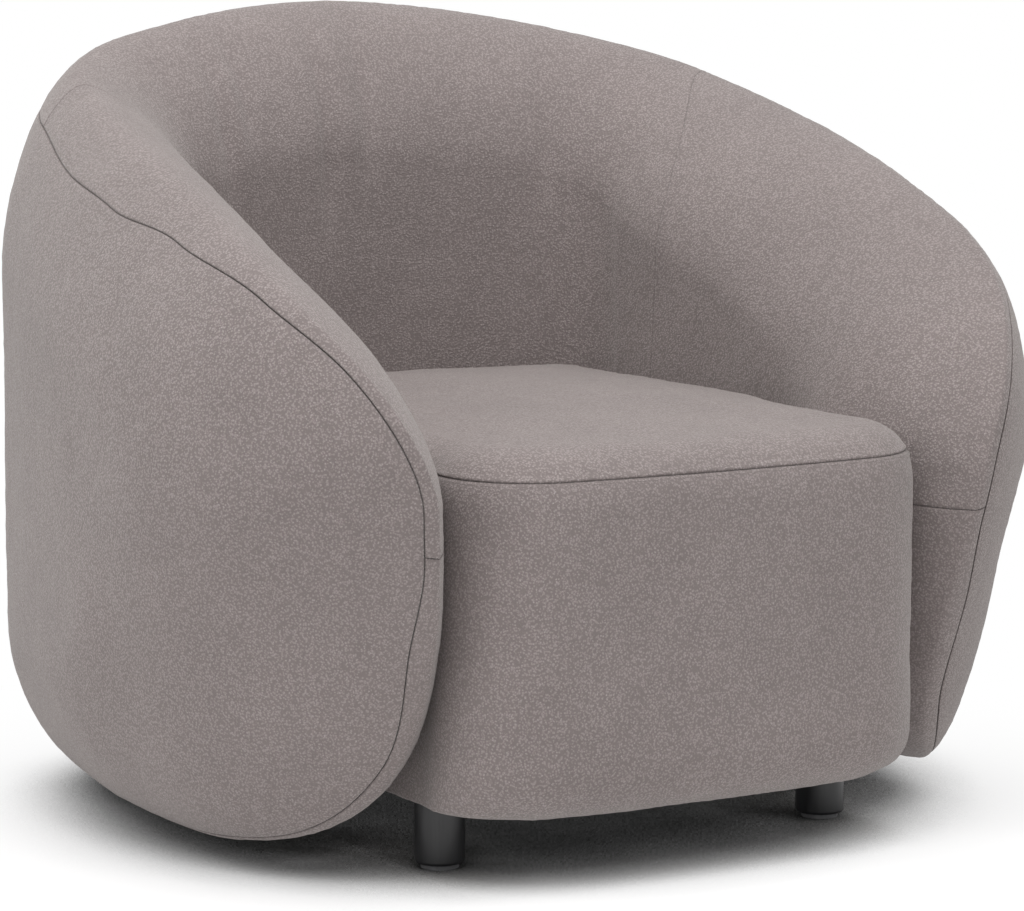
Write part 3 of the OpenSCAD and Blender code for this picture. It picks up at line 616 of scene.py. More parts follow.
# %% Under band
def band_skin(column, row):
    size = -row * seam_in(2 * COLUMNS - abs(column)) if row < 0 else row
    return shell(column, False, size / reach(column, False), row < 0, lift=-BARE)


band_rows = [-x for x in (1.0, 0.955, 0.9, 0.84, 0.76, 0.6, 0.4, 0.25, 0.12, 0.04)]
band_rows += [0.0, 1.0, 4.0, 9.0, 15.0, 21.0]
pads["under_band"] = make_pad("under_band", columns_between(-LOW_COLUMN, LOW_COLUMN, 1500.0, 12.0), band_rows,
                              band_skin, lambda column, row: None,
                              seams=("start", "end", "first", "last"))

# %% [markdown]
# ## The seat block
# Seen from above, the seat keeps close to the inside of the shell, runs straight past the arm's nose, turns
# out a little and rounds into a slightly bowed front. Its outline is a loop of stations, and every
# row of the cushion is that loop set in by some amount at some height. The seat has its own tip, curl and
# depth of arm, because it stands clear of the fuller cloth at the nose.

# %% Stations round the seat
SEAT_H, SEAT_CROWN, SEAT_LOW, SEAT_SEAM_H = 382.0, 14.0, 56.0, 356.0
SEAT_FOLLOW, SEAT_GAP = 893.0, 1.5
SEAT_TIP, SEAT_CURL_R, SEAT_ARM, SEAT_TIP_ROLL = 971.0, 244.0, 124.0, 190.0
SEAT_STAND, SEAT_STAND_FROM = 1.4, 0.66
SEAT_ROLL, SEAT_ROLL_LOW, SEAT_ROLL_SIDE = 54.0, 60.0, 3.5
SEAT_SIDE_GROWTH = 1.08
STRAIGHT_R, STRAIGHT = 9999.0, 52.0
SEAT_ARCS = ((STRAIGHT_R, STRAIGHT / STRAIGHT_R), (-117.0, math.radians(12.0)), (90.0, None))
CORNER_ARC = 2
SIDE_STATIONS, FRONT_STATIONS, STATION_STEP = 90, 26, 6.0
SIDE_FOAM, FRONT_FOAM = 8.0, 27.0
SEAT_BOW = math.radians(5.0)
BOARD_Z, BOARD_T = 62.0, 18.0
FOAM_Z = 234.0
MIDDLE_Y = -46.0
CAP_P = 2.2


def rim_run(run):
    """The run on the rim whose pattern column ends at this run of the middle line."""
    if run <= SEAM_RUN:
        return run
    stretch = (SEAT_TIP - SEAM_RUN) / (SEAT_TIP - TIP_REACH - SEAM_RUN)
    return min(SEAT_TIP, SEAM_RUN + (run - SEAM_RUN) * stretch)


def seat_base(run):
    """Place of the seat's side where it follows the inside of the shell."""
    x, y, head = along(run, SEAT_CURL_R)
    least = LEAST - SEAT_STAND * ease((rim_run(run) / SEAT_TIP - SEAT_STAND_FROM) / (1.0 - SEAT_STAND_FROM))
    full = IN_BACK + (SEAT_ARM - IN_BACK) * ease((run - IN_FROM) / IN_OVER)
    depth = least + (full - least) * roll(SEAT_SIDE_GROWTH * (SEAT_TIP - run), SEAT_TIP_ROLL) + SEAT_GAP
    return x - depth * math.sin(head), y - depth * math.cos(head)


def seat_station(run):
    (x0, y0), (x1, y1) = seat_base(run - 1.0), seat_base(run + 1.0)
    x, y = seat_base(run)
    return x, y, math.atan2(y0 - y1, x1 - x0)


def seat_half():
    """Stations from the middle of the back round the right side to the middle of the front:
    (x, y, heading, radius of the lower edge, its height, how far in the foam behind the cloth starts)."""
    low_side = BOARD_Z + BARE
    line = []
    for i in range(SIDE_STATIONS):
        run = max(SEAT_FOLLOW * i / SIDE_STATIONS, 0.01)
        line.append((*seat_station(run), SEAT_ROLL_SIDE, low_side, SIDE_FOAM))
    x, y, head = seat_station(SEAT_FOLLOW)
    start = len(line)
    for number, (radius, turn) in enumerate(SEAT_ARCS):
        if turn is None:
            turn = math.pi - SEAT_BOW - head
        n = max(4, round(abs(radius * turn) / STATION_STEP))
        for i in range(n):
            turned = ease(1.5 * i / n) if number == CORNER_ARC else 0.0
            thick = ease(3.0 * i / n) if number == CORNER_ARC else 0.0
            line.append((*walk(x, y, head, radius, abs(radius) * turn * i / n),
                         SEAT_ROLL_SIDE + (SEAT_ROLL_LOW - SEAT_ROLL_SIDE) * turned,
                         low_side - (low_side - SEAT_LOW) * turned,
                         SIDE_FOAM + (FRONT_FOAM - SIDE_FOAM) * thick))
        x, y, head = walk(x, y, head, radius, abs(radius) * turn)
    front_r = x / math.sin(SEAT_BOW)
    for i in range(FRONT_STATIONS + 1):
        place = walk(x, y, head, front_r, front_r * SEAT_BOW * i / FRONT_STATIONS)
        line.append((*place, SEAT_ROLL_LOW, SEAT_LOW, FRONT_FOAM))
    return line, start


half_line, straight_start = seat_half()
print("seat stations", len(half_line), "front at", round(half_line[-1][1], 1))


def station_place(station, sign, inset, height, share=0.0):
    """A point set in from a station, or a share of the way from there to the middle of the seat."""
    x, y = station[0] - inset * math.sin(station[2]), station[1] - inset * math.cos(station[2])
    return Vector((sign * x * (1.0 - share), y + (MIDDLE_Y - y) * share, height))


def edge_inset(height):
    """How far the seat's rounded top edge is set in at a height."""
    u = min(max((height - SEAT_H + SEAT_ROLL) / SEAT_ROLL, 0.0), 1.0)
    return SEAT_ROLL * (1.0 - (1.0 - u ** CAP_P) ** (1.0 / CAP_P))


# %% [markdown]
# ## The seat cushion
# The top of the seat is one crowned pad. It has a full, soft edge, and its seam lies just below that
# edge with a fine ridge of turned cloth. The pad is one closed form: the rows run from the middle of
# its underside, up its side, over the edge and to the middle of its top.

# %% Seat cushion
FOAM_INSET = 3.0
RIDGE = ((2.7, -0.6), (0.5, 0.1), (-0.5, 1.4), (-0.7, 2.6), (-0.2, 4.2), (0.3, 6.0))
RIDGE_TOP = 8.5
EDGE_ROWS, TOP_ROWS = 14, 30
TOP_SOFT = 8.0


def cushion_rows():
    """(inset, height, share of the way to the middle)."""
    rows = [(FOAM_INSET, FOAM_Z, share) for share in (1.0, 0.5, 0.06, 0.0)]
    rows += [(FOAM_INSET, z, 0.0) for z in (260.0, 300.0, 335.0, 352.0)]
    for inset, rise in RIDGE:
        z = SEAT_SEAM_H + rise
        rows.append((inset + edge_inset(z), z, 0.0))
    start = math.asin(((SEAT_SEAM_H + RIDGE_TOP - SEAT_H + SEAT_ROLL) / SEAT_ROLL) ** (CAP_P / 2.0))
    for i in range(EDGE_ROWS + 1):
        turn = start + (math.pi / 2 - start) * i / EDGE_ROWS
        rows.append((SEAT_ROLL * (1.0 - math.cos(turn) ** (2.0 / CAP_P)),
                     SEAT_H - SEAT_ROLL + SEAT_ROLL * math.sin(turn) ** (2.0 / CAP_P), 0.0))
    for i in range(1, TOP_ROWS + 1):
        share = i / TOP_ROWS
        rows.append((SEAT_ROLL, SEAT_H + SEAT_CROWN * (1.0 - (1.0 - share) ** 2), share))
    return rows


def make_closed(name, columns, rows, place, smooth=0):
    """A closed form from a grid whose first and last columns meet and whose end rows shrink to a point."""
    bm = bmesh.new()
    bmesh.ops.create_grid(bm, x_segments=len(columns) - 1, y_segments=len(rows) - 1, size=1.0)
    near = bm.verts.layers.float.new("seam")
    for v in bm.verts:
        i = round((v.co.x + 1) / 2 * (len(columns) - 1))
        j = round((v.co.y + 1) / 2 * (len(rows) - 1))
        v.co = place(columns[i], rows[j]) * MM
        v[near] = abs(rows[j][1] - SEAT_SEAM_H) if rows[j][2] == 0.0 else SEAM_SIGHT
    bmesh.ops.remove_doubles(bm, verts=bm.verts, dist=MERGE)
    bmesh.ops.recalc_face_normals(bm, faces=bm.faces)
    for _ in range(smooth):
        high = [v for v in bm.verts if v.co.z > (SEAT_H - TOP_SOFT) * MM]
        bmesh.ops.smooth_vert(bm, verts=high, factor=0.5, use_axis_x=True, use_axis_y=True, use_axis_z=True)
    bm.normal_update()
    swell = [lumps(v.co) * min(1.0, v[near] / SWELL_FROM) for v in bm.verts]
    for v, size in zip(bm.verts, swell):
        v.co += v.normal * size * MM
    piece = finish_mesh(bm, name)
    print(name, len(piece.data.polygons), "faces")
    return piece


loop = [(s, 1.0) for s in half_line] + [(s, -1.0) for s in reversed(half_line[:-1])]
pads["seat_cushion"] = make_closed(
    "seat_cushion", loop, cushion_rows(),
    lambda station, row: station_place(station[0], station[1], row[0], row[1], row[2]), smooth=3)

# %% [markdown]
# ## The front of the seat block
# Below the seam the cloth drops straight down the front and turns under the block. Beside the legs it ends
# on the base board. The pad behind it is thick at the front and thin beside the frame.

# %% Seat front
BESIDE_FRONT = 9
BELOW_SEAM = (0.3, 1.5, 2.9, 4.6, 6.8, 10.0)
FRONT_DROP, FOAM_TOP, FOAM_LOW = 110.0, 233.0, 122.0
DROP_ROWS, FOAM_ROWS, TURN_ROWS = 17, 16, 14
ON_BOARD = 0.6
END_SIDE, END_FRONT, SHARP_EDGE = 0.5, 6.0, 10.0

front_half = half_line[straight_start - BESIDE_FRONT:]
front_loop = [(s, -1.0) for s in front_half] + [(s, 1.0) for s in reversed(front_half[:-1])]


def front_rows():
    """(kind, value): a height on the drop, a turn round the lower edge, or the end under the block."""
    rows = [("drop", SEAT_SEAM_H - d) for d in BELOW_SEAM]
    start = SEAT_SEAM_H - BELOW_SEAM[-1]
    rows += [("drop", start - FRONT_DROP * i / DROP_ROWS) for i in range(1, DROP_ROWS + 1)]
    rows += [("drop", FOAM_TOP - (FOAM_TOP - FOAM_LOW) * i / FOAM_ROWS) for i in range(FOAM_ROWS + 1)]
    rows += [("turn", math.pi / 2 * i / TURN_ROWS) for i in range(1, TURN_ROWS + 1)]
    return rows + [("end", 0.0)]


def front_skin(loop_station, row):
    station, sign = loop_station
    low_r, low_z = station[3:5]
    kind, value = row
    if kind == "drop":
        height = max(value, low_z + low_r)
        return station_place(station, sign, edge_inset(height), height)
    if kind == "turn":
        return station_place(station, sign, low_r * (1.0 - math.cos(value) ** (2.0 / CAP_P)),
                             low_z + low_r * (1.0 - math.sin(value) ** (2.0 / CAP_P)))
    end = END_SIDE if low_r < SHARP_EDGE else END_FRONT
    return station_place(station, sign, low_r + end, low_z)


def front_back(loop_station, row):
    """Above the foam's top the cloth lies on the cushion, below it the pad is as thick as its foam."""
    station, sign = loop_station
    kind, value = row
    if kind != "drop":
        return None
    if value > FOAM_TOP + 0.5:
        return station_place(station, sign, edge_inset(value) + CLOTH, value)
    return station_place(station, sign, max(station[5], CLOTH), max(value, BOARD_Z + BOARD_T + ON_BOARD))


pads["seat_front"] = make_pad("seat_front", front_loop, front_rows(), front_skin, front_back,
                              seams=("first",))

# %% [markdown]
# ## Hidden cloth
# Under the seat foam, elastic webbing is stretched over the rails in both directions, and a thin black cloth
# closes the underside. Nobody sees them from the front, but they show when the chair is turned over. The
# straps are made from one grid each, given a wall, and the lower cloth repeats its solid.

# %% Straps and dust cloth
STRAP_T = 1.8
ACROSS, LENGTHWISE = 6, 60


def make_straps(name, node, front_to_back):
    """Straps in the places of a node's solids, one box of the solid each."""
    solid = frame["nodes"][node].data
    source = bmesh.new()
    source.from_mesh(solid)
    bmesh.ops.remove_doubles(source, verts=source.verts, dist=MERGE / 2)
    found, seen = [], set()
    for start in source.verts:
        if start in seen:
            continue
        group, todo = [], [start]
        seen.add(start)
        while todo:
            v = todo.pop()
            group.append(v.co.copy())
            for e in v.link_edges:
                other = e.other_vert(v)
                if other not in seen:
                    seen.add(other)
                    todo.append(other)
        low = Vector(min(c[k] for c in group) for k in range(3))
        high = Vector(max(c[k] for c in group) for k in range(3))
        found.append((low, high))
    source.free()
    bm = bmesh.new()
    along_x, along_y = (ACROSS, LENGTHWISE) if front_to_back else (LENGTHWISE, ACROSS)
    for low, high in found:
        made = bmesh.ops.create_grid(bm, x_segments=along_x, y_segments=along_y, size=0.5)["verts"]
        size = high - low
        bmesh.ops.scale(bm, vec=(size.x, size.y, 1.0), verts=made)
        bmesh.ops.translate(bm, vec=((low.x + high.x) / 2, (low.y + high.y) / 2, low.z), verts=made)
    bm.normal_update()
    bmesh.ops.solidify(bm, geom=list(bm.faces), thickness=-STRAP_T * MM)
    piece = finish_mesh(bm, name)
    print(name, len(found), "straps")
    return piece


pads["straps_long"] = make_straps("straps_long", "webbing_long", True)
pads["straps_cross"] = make_straps("straps_cross", "webbing_cross", False)

lower = bmesh.new()
lower.from_mesh(frame["nodes"]["dust_cover"].data)
bmesh.ops.remove_doubles(lower, verts=lower.verts, dist=MERGE / 2)
pads["dust_cloth"] = finish_mesh(lower, "dust_cloth")
pads["dust_cloth"].data.shade_flat()

# %% [markdown]
# ## Curly cloth
# The cover is a boucle: a looped yarn that curls into small nubs of two or three millimetres. Close up it
# is a field of pale loops over darker pits, with a few lighter flecks, and its pile lies a little
# differently from place to place. The pattern reads Object coordinates, so the nubs keep their size over
# every panel. It is a group, so that the same cloth in another colour only needs other values.

# %% The cloth's node group
def socket(tree, name, kind, out=False, value=None):
    made = tree.interface.new_socket(name=name, in_out="OUTPUT" if out else "INPUT", socket_type=kind)
    if value is not None:
        made.default_value = value
    return made


def add(tree, kind, **settings):
    node = tree.nodes.new(kind)
    for key, value in settings.items():
        setattr(node, key, value)
    return node


def math_node(tree, operation, a, b=None, clamp=False):
    node = add(tree, "ShaderNodeMath", operation=operation, use_clamp=clamp)
    for index, value in enumerate((a, b)):
        if value is None:
            continue
        if isinstance(value, (int, float)):
            node.inputs[index].default_value = value
        else:
            tree.links.new(value, node.inputs[index])
    return node.outputs[0]


def mix_colour(tree, factor, a, b, blend="MIX"):
    node = add(tree, "ShaderNodeMix", data_type="RGBA", blend_type=blend)
    for name, value in (("Factor", factor), ("A", a), ("B", b)):
        target = next(i for i in node.inputs
                      if i.name == name and i.enabled and (i.type == "RGBA") == (name != "Factor"))
        if isinstance(value, (int, float, tuple)):
            target.default_value = value
        else:
            tree.links.new(value, target)
    return next(o for o in node.outputs if o.type == "RGBA")


def ramp(tree, source, low, high, out_low=0.0, out_high=1.0):
    node = add(tree, "ShaderNodeMapRange", interpolation_type="SMOOTHSTEP")
    tree.links.new(source, node.inputs["Value"])
    for name, value in (("From Min", low), ("From Max", high), ("To Min", out_low), ("To Max", out_high)):
        node.inputs[name].default_value = value
    return node.outputs["Result"]


def noise_node(tree, vector, scale, detail=2.0, distortion=0.0, roughness=0.5):
    node = add(tree, "ShaderNodeTexNoise")
    tree.links.new(vector, node.inputs["Vector"])
    for name, value in (("Scale", scale), ("Detail", detail),
                        ("Distortion", distortion), ("Roughness", roughness)):
        node.inputs[name].default_value = value
    return node.outputs["Fac"]


BEND_SCALE, BEND_SIZE = 600.0, 0.0018
NUB_SCALE, CURL_SCALE, FIBRE_SCALE, FLECK_SCALE = 470.0, 760.0, 1700.0, 900.0
DRIFT_SCALE, NAP_SCALE = 9.0, 60.0
SEAM_SHADE = 0.88


def boucle_group():
    tree = bpy.data.node_groups.new("boucle_curl", "ShaderNodeTree")
    socket(tree, "Yarn", "NodeSocketColor", value=(0.25, 0.22, 0.21, 1.0))
    socket(tree, "Pit", "NodeSocketColor", value=(0.12, 0.10, 0.10, 1.0))
    socket(tree, "Fleck", "NodeSocketColor", value=(0.42, 0.39, 0.37, 1.0))
    socket(tree, "Seam", "NodeSocketFloat", value=60.0)
    socket(tree, "Color", "NodeSocketColor", out=True)
    socket(tree, "Roughness", "NodeSocketFloat", out=True)
    socket(tree, "Height", "NodeSocketFloat", out=True)
    given = add(tree, "NodeGroupInput")
    put = add(tree, "NodeGroupOutput")
    place = add(tree, "ShaderNodeTexCoord").outputs["Object"]
    bend = add(tree, "ShaderNodeTexNoise")
    tree.links.new(place, bend.inputs["Vector"])
    bend.inputs["Scale"].default_value = BEND_SCALE
    bend.inputs["Detail"].default_value = 1.0
    shift = add(tree, "ShaderNodeVectorMath", operation="MULTIPLY_ADD")
    tree.links.new(bend.outputs["Color"], shift.inputs[0])
    shift.inputs[1].default_value = (BEND_SIZE, BEND_SIZE, BEND_SIZE)
    tree.links.new(place, shift.inputs[2])
    nub = add(tree, "ShaderNodeTexVoronoi", feature="SMOOTH_F1")
    tree.links.new(shift.outputs[0], nub.inputs["Vector"])
    nub.inputs["Scale"].default_value = NUB_SCALE
    nub.inputs["Smoothness"].default_value = 0.35
    curl = noise_node(tree, place, CURL_SCALE, 2.5, 1.6, 0.6)
    fibre = noise_node(tree, place, FIBRE_SCALE, 1.0, 0.4)
    round_nub = ramp(tree, nub.outputs["Distance"], 0.08, 0.72, 1.0, 0.0)
    height = math_node(tree, "ADD", math_node(tree, "MULTIPLY", round_nub, 0.55),
                       math_node(tree, "ADD", math_node(tree, "MULTIPLY", curl, 0.55),
                                 math_node(tree, "MULTIPLY", fibre, 0.18)))
    pit = ramp(tree, height, 0.42, 0.74, 1.0, 0.0)
    spots = noise_node(tree, place, FLECK_SCALE, 2.0, 1.2)
    fleck = ramp(tree, math_node(tree, "MULTIPLY", spots, round_nub), 0.44, 0.6)
    drift = noise_node(tree, place, DRIFT_SCALE, 2.0)
    nap = noise_node(tree, place, NAP_SCALE, 2.0, 0.8)
    shade = math_node(tree, "ADD", ramp(tree, drift, 0.25, 0.75, -0.035, 0.035),
                      ramp(tree, nap, 0.25, 0.75, -0.03, 0.03))
    colour = mix_colour(tree, math_node(tree, "MULTIPLY", pit, 0.62),
                        given.outputs["Yarn"], given.outputs["Pit"])
    colour = mix_colour(tree, math_node(tree, "MULTIPLY", fleck, 0.7), colour, given.outputs["Fleck"])
    tint = add(tree, "ShaderNodeHueSaturation")
    tree.links.new(colour, tint.inputs["Color"])
    line = ramp(tree, given.outputs["Seam"], 0.2, 1.6, SEAM_SHADE, 1.0)
    tree.links.new(math_node(tree, "MULTIPLY", math_node(tree, "ADD", shade, 1.0), line),
                   tint.inputs["Value"])
    tree.links.new(tint.outputs["Color"], put.inputs["Color"])
    tree.links.new(ramp(tree, height, 0.3, 0.9, 1.0, 0.86), put.inputs["Roughness"])
    tree.links.new(height, put.inputs["Height"])
    return tree


BOUCLE = boucle_group()
print("boucle group", len(BOUCLE.nodes), "nodes")

# %% [markdown]
# ## The cloth as a material
# Wool scatters light at grazing angles, so the shader has some sheen; it is set on the shader itself. The
# bump comes from the nubs' height, just under a millimetre deep. The attribute "seam" holds each corner's
# distance from a seam in millimetres, and the cloth is a little darker close to it.

# %% Materials for the cover
def principled(name):
    material = bpy.data.materials.new(name)
    material.use_nodes = True
    return material, material.node_tree, material.node_tree.nodes["Principled BSDF"]


def boucle_material(name, yarn, pit, fleck):
    material, tree, shader = principled(name)
    cloth = add(tree, "ShaderNodeGroup", node_tree=BOUCLE)
    for key, value in (("Yarn", yarn), ("Pit", pit), ("Fleck", fleck)):
        cloth.inputs[key].default_value = (*value, 1.0)
    near = add(tree, "ShaderNodeAttribute", attribute_name="seam")
    tree.links.new(near.outputs["Fac"], cloth.inputs["Seam"])
    bump = add(tree, "ShaderNodeBump")
    bump.inputs["Strength"].default_value = 0.9
    bump.inputs["Distance"].default_value = 0.0008
    tree.links.new(cloth.outputs["Height"], bump.inputs["Height"])
    tree.links.new(bump.outputs["Normal"], shader.inputs["Normal"])
    tree.links.new(cloth.outputs["Color"], shader.inputs["Base Color"])
    tree.links.new(cloth.outputs["Roughness"], shader.inputs["Roughness"])
    shader.inputs["Specular IOR Level"].default_value = 0.2
    shader.inputs["Sheen Weight"].default_value = 0.35
    shader.inputs["Sheen Roughness"].default_value = 0.45
    shader.inputs["Sheen Tint"].default_value = (0.85, 0.83, 0.80, 1.0)
    return material


cover = boucle_material("cover_boucle", yarn=(0.285, 0.245, 0.238), pit=(0.155, 0.130, 0.126),
                        fleck=(0.42, 0.385, 0.375))

# %% [markdown]
# ## Wood, steel and the rest
# The legs are turned wood under a black satin lacquer. The frame inside is plain plywood and softwood, the
# fasteners are zinc plated. These stay on the loaded solids, which only get a better material.

# %% Materials for the frame
def grain_material(name, light, dark, stretch, rough):
    """A drawn-out figure with fine pores. The shader comes back too, for a coat or a metal."""
    material, tree, shader = principled(name)
    place = add(tree, "ShaderNodeTexCoord").outputs["Object"]
    mapping = add(tree, "ShaderNodeMapping")
    mapping.inputs["Scale"].default_value = stretch
    tree.links.new(place, mapping.inputs["Vector"])
    figure = noise_node(tree, mapping.outputs[0], 60.0, 5.0, 1.2, 0.65)
    pores = noise_node(tree, mapping.outputs[0], 420.0, 2.0)
    colour = mix_colour(tree, ramp(tree, figure, 0.35, 0.65), (*light, 1.0), (*dark, 1.0))
    tree.links.new(colour, shader.inputs["Base Color"])
    tree.links.new(ramp(tree, pores, 0.3, 0.7, rough - 0.08, rough + 0.08), shader.inputs["Roughness"])
    bump = add(tree, "ShaderNodeBump")
    bump.inputs["Strength"].default_value = 0.25
    bump.inputs["Distance"].default_value = 0.0003
    tree.links.new(math_node(tree, "ADD", figure, pores), bump.inputs["Height"])
    tree.links.new(bump.outputs["Normal"], shader.inputs["Normal"])
    return material, shader


timber, _ = grain_material("frame_timber", (0.62, 0.44, 0.25), (0.48, 0.31, 0.16),
                           (1.0, 1.0, 0.06), 0.6)
black_wood, leg_shader = grain_material("leg_black_satin", (0.007, 0.007, 0.008), (0.004, 0.004, 0.005),
                                        (1.0, 1.0, 0.05), 0.36)
leg_shader.inputs["Coat Weight"].default_value = 0.3
leg_shader.inputs["Coat Roughness"].default_value = 0.25
zinc, zinc_shader = grain_material("zinc_steel", (0.60, 0.60, 0.62), (0.48, 0.48, 0.50),
                                   (1.0, 1.0, 1.0), 0.34)
zinc_shader.inputs["Metallic"].default_value = 1.0
grey_plastic, _ = grain_material("glide_plastic", (0.16, 0.16, 0.165), (0.12, 0.12, 0.125),
                                 (1.0, 1.0, 1.0), 0.55)


def woven_material(name, light, dark, size):
    """Plain weave: two sets of fine waves at right angles."""
    material, tree, shader = principled(name)
    place = add(tree, "ShaderNodeTexCoord").outputs["Object"]
    waves = []
    for axis in ("X", "Y"):
        wave = add(tree, "ShaderNodeTexWave", wave_type="BANDS", bands_direction=axis)
        wave.inputs["Scale"].default_value = size
        wave.inputs["Distortion"].default_value = 0.6
        tree.links.new(place, wave.inputs["Vector"])
        waves.append(wave.outputs["Fac"])
    weave = math_node(tree, "MULTIPLY", waves[0], waves[1])
    fuzz = noise_node(tree, place, 900.0, 2.0)
    raised = ramp(tree, math_node(tree, "ADD", weave, fuzz), 0.4, 1.2)
    colour = mix_colour(tree, raised, (*dark, 1.0), (*light, 1.0))
    tree.links.new(colour, shader.inputs["Base Color"])
    tree.links.new(ramp(tree, fuzz, 0.3, 0.7, 0.8, 0.95), shader.inputs["Roughness"])
    bump = add(tree, "ShaderNodeBump")
    bump.inputs["Distance"].default_value = 0.0004
    tree.links.new(weave, bump.inputs["Height"])
    tree.links.new(bump.outputs["Normal"], shader.inputs["Normal"])
    return material


webbing = woven_material("webbing_weave", (0.035, 0.035, 0.036), (0.012, 0.012, 0.012), 180.0)
dust = woven_material("dust_weave", (0.05, 0.05, 0.052), (0.02, 0.02, 0.021), 300.0)

# %% [markdown]
# ## Dress and fasten
# Each solid of the frame takes its material, and each soft piece takes its finish, rides on the one body of
# the chair and hides the solids that it stands for.

# %% Give materials and bodies
NODE_FINISH = dict.fromkeys((
    "base_board", "back_posts", "arm_posts_left", "arm_posts_right", "top_rail", "outer_liner", "inner_liner",
    "front_rail", "side_rail_left", "side_rail_right", "rear_rail", "corner_blocks"), timber)
NODE_FINISH.update(dict.fromkeys(("frame_screws", "tee_nuts", "leg_bolts"), zinc))
for corner in ("front_left", "front_right", "rear_left", "rear_right"):
    NODE_FINISH["leg_" + corner] = black_wood
    NODE_FINISH["glide_" + corner] = grey_plastic
for node, finish in NODE_FINISH.items():
    slots = frame["nodes"][node].data.materials
    slots.clear()
    slots.append(finish)

STANDS_FOR = {
    "inner_back": ("inner_back_cover", "inner_back_foam"),
    "inner_arm_left": ("inner_arm_cover_left", "inner_arm_foam_left"),
    "inner_arm_right": ("inner_arm_cover_right", "inner_arm_foam_right"),
    "lower_arm_left": ("lower_arm_cover_left", "arm_front_foam_left"),
    "lower_arm_right": ("lower_arm_cover_right", "arm_front_foam_right"),
    "outer_panel_left": ("outer_cover_left", "outer_arm_foam_left"),
    "outer_panel_right": ("outer_cover_right", "outer_arm_foam_right", "outer_back_foam"),
    "under_band": ("under_band",),
    "seat_cushion": ("seat_top_cover", "seat_foam"),
    "seat_front": ("seat_front_cover", "seat_front_foam"),
}
for name, nodes in STANDS_FOR.items():
    piece = pads[name]
    piece.data.materials.append(cover)
    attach(piece, "root")
    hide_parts(*nodes)

# A row holds the piece, its solid, its finish, its slot, its flat width and length and its flat area, in
# metres. Straps lie side by side in that flat size.
SHEETS = (("straps_long", "webbing_long", webbing, "webbing", (0.25, 0.63), 0.1563),
          ("straps_cross", "webbing_cross", webbing, "webbing", (0.35, 0.36), 0.1234),
          ("dust_cloth", "dust_cover", dust, "dust_cloth", (0.674, 0.65), 0.3447))
for name, node, finish, slot_name, flat, area in SHEETS:
    piece = pads[name]
    piece.data.materials.append(finish)
    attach(piece, "root")
    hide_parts(node)
print("pieces:", len(pads), "with", sum(len(p.data.polygons) for p in pads.values()), "faces")

# %% [markdown]
# ## Floor and light
# The chair stands on a pale floor that fades into white behind it. The floor's own shade stays near the
# chair, so that the shadow under it is kept. Close under the chair a painted shadow darkens the floor's
# colour, by ambient occlusion. The sky is full white to the camera and weaker as a light, and two broad lamps
# add to it.

# %% Floor, sky and lamps
FLOOR_SIZE = 14.0
# How far the painted shadow under the chair reaches, in metres.
PAINTED_SHADOW_REACH = 0.16
FADE_WAY, FADE_FROM, FADE_TO = (0.5, 0.866, 0.0), -1.1, 0.5
SKY_LIGHT = 0.6

floor_mesh = bmesh.new()
bmesh.ops.create_grid(floor_mesh, x_segments=1, y_segments=1, size=FLOOR_SIZE)
floor_data = bpy.data.meshes.new("floor")
floor_mesh.to_mesh(floor_data)
floor_mesh.free()
floor = bpy.data.objects.new("floor", floor_data)
bpy.context.scene.collection.objects.link(floor)
pale, pale_tree, pale_shader = principled("pale_floor")
pale_shader.inputs["Roughness"].default_value = 0.9
pale_shader.inputs["Specular IOR Level"].default_value = 0.1
# Painted shadow: ambient occlusion darkens the floor's colour nearly to black close under the chair.
painted_shadow_ao = add(pale_tree, "ShaderNodeAmbientOcclusion", samples=8)
painted_shadow_ao.inputs["Distance"].default_value = PAINTED_SHADOW_REACH
clear = ramp(pale_tree, painted_shadow_ao.outputs["AO"], 0.12, 0.7)
pale_tree.links.new(mix_colour(pale_tree, clear, (0.02, 0.02, 0.02, 1.0), (0.97, 0.97, 0.97, 1.0)),
                    pale_shader.inputs["Base Color"])
place = add(pale_tree, "ShaderNodeTexCoord").outputs["Object"]
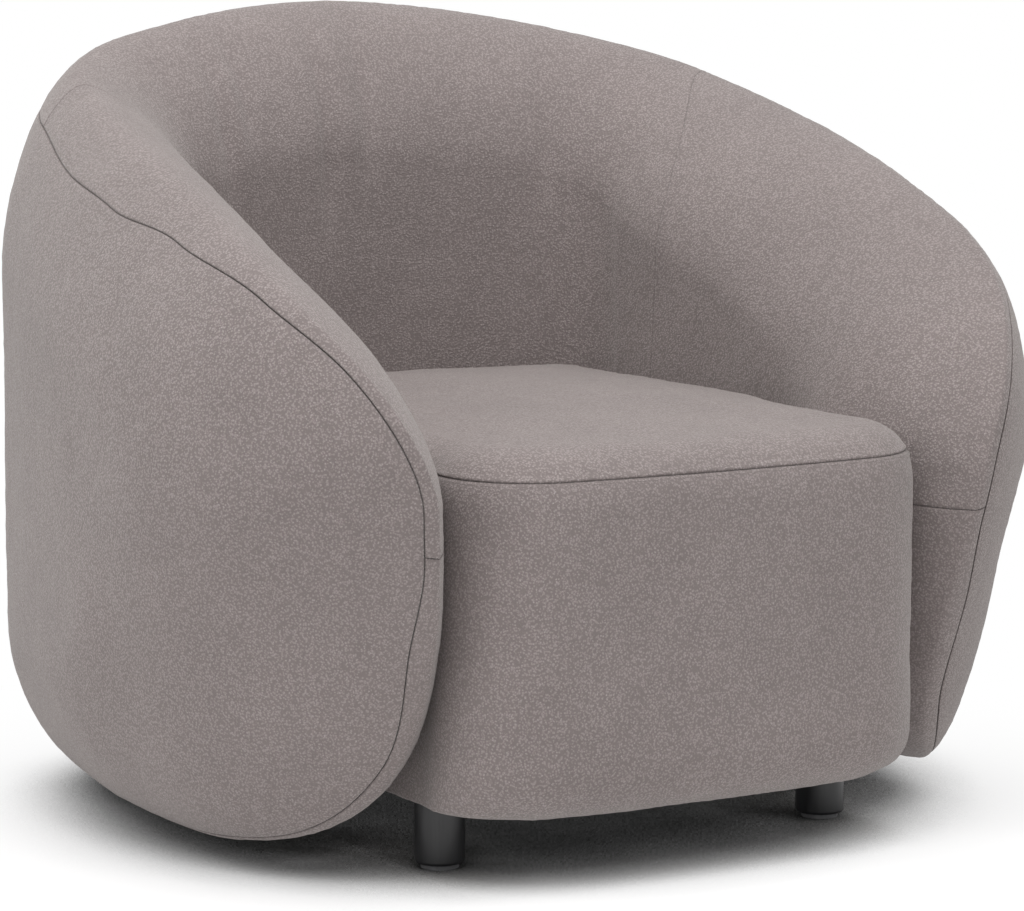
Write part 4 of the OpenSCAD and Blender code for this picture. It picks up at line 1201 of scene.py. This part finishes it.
far = add(pale_tree, "ShaderNodeVectorMath", operation="DOT_PRODUCT")
pale_tree.links.new(place, far.inputs[0])
far.inputs[1].default_value = FADE_WAY
glow = add(pale_tree, "ShaderNodeEmission")
glow.inputs["Color"].default_value = (1.0, 1.0, 1.0, 1.0)
blend = add(pale_tree, "ShaderNodeMixShader")
glowing = ramp(pale_tree, far.outputs["Value"], FADE_FROM, FADE_TO)
# The white glow gives way where the painted shadow darkens the floor.
pale_tree.links.new(math_node(pale_tree, "MULTIPLY", glowing, math_node(pale_tree, "POWER", clear, 1.5)),
                    blend.inputs["Fac"])
pale_tree.links.new(pale_shader.outputs["BSDF"], blend.inputs[1])
pale_tree.links.new(glow.outputs["Emission"], blend.inputs[2])
pale_tree.links.new(blend.outputs["Shader"], pale_tree.nodes["Material Output"].inputs["Surface"])
floor_data.materials.append(pale)

world = bpy.data.worlds.new("studio")
world.use_nodes = True
bpy.context.scene.world = world
sky_tree = world.node_tree
sky = sky_tree.nodes["Background"]
sky.inputs["Color"].default_value = (1.0, 1.0, 1.0, 1.0)
rays = add(sky_tree, "ShaderNodeLightPath")
shown = math_node(sky_tree, "ADD", rays.outputs["Is Camera Ray"], rays.outputs["Is Glossy Ray"], clamp=True)
extra_white = math_node(sky_tree, "MULTIPLY", shown, 1.0 - SKY_LIGHT)
sky_tree.links.new(math_node(sky_tree, "ADD", extra_white, SKY_LIGHT), sky.inputs["Strength"])


def soft_lamp(name, place, aim, size, power):
    data = bpy.data.lights.new(name, "AREA")
    data.shape = "RECTANGLE"
    data.size, data.size_y = size
    data.energy = power
    lamp = bpy.data.objects.new(name, data)
    lamp.location = place
    lamp.rotation_mode = "QUATERNION"
    lamp.rotation_quaternion = (Vector(aim) - Vector(place)).to_track_quat("-Z", "Y")
    bpy.context.scene.collection.objects.link(lamp)
    return lamp


soft_lamp("lamp_above", (-0.5, -0.7, 2.8), (0.0, 0.0, 0.4), (2.4, 2.0), 68.0)
soft_lamp("lamp_side", (-3.4, -0.5, 1.8), (0.0, 0.0, 0.4), (2.0, 1.6), 12.0)
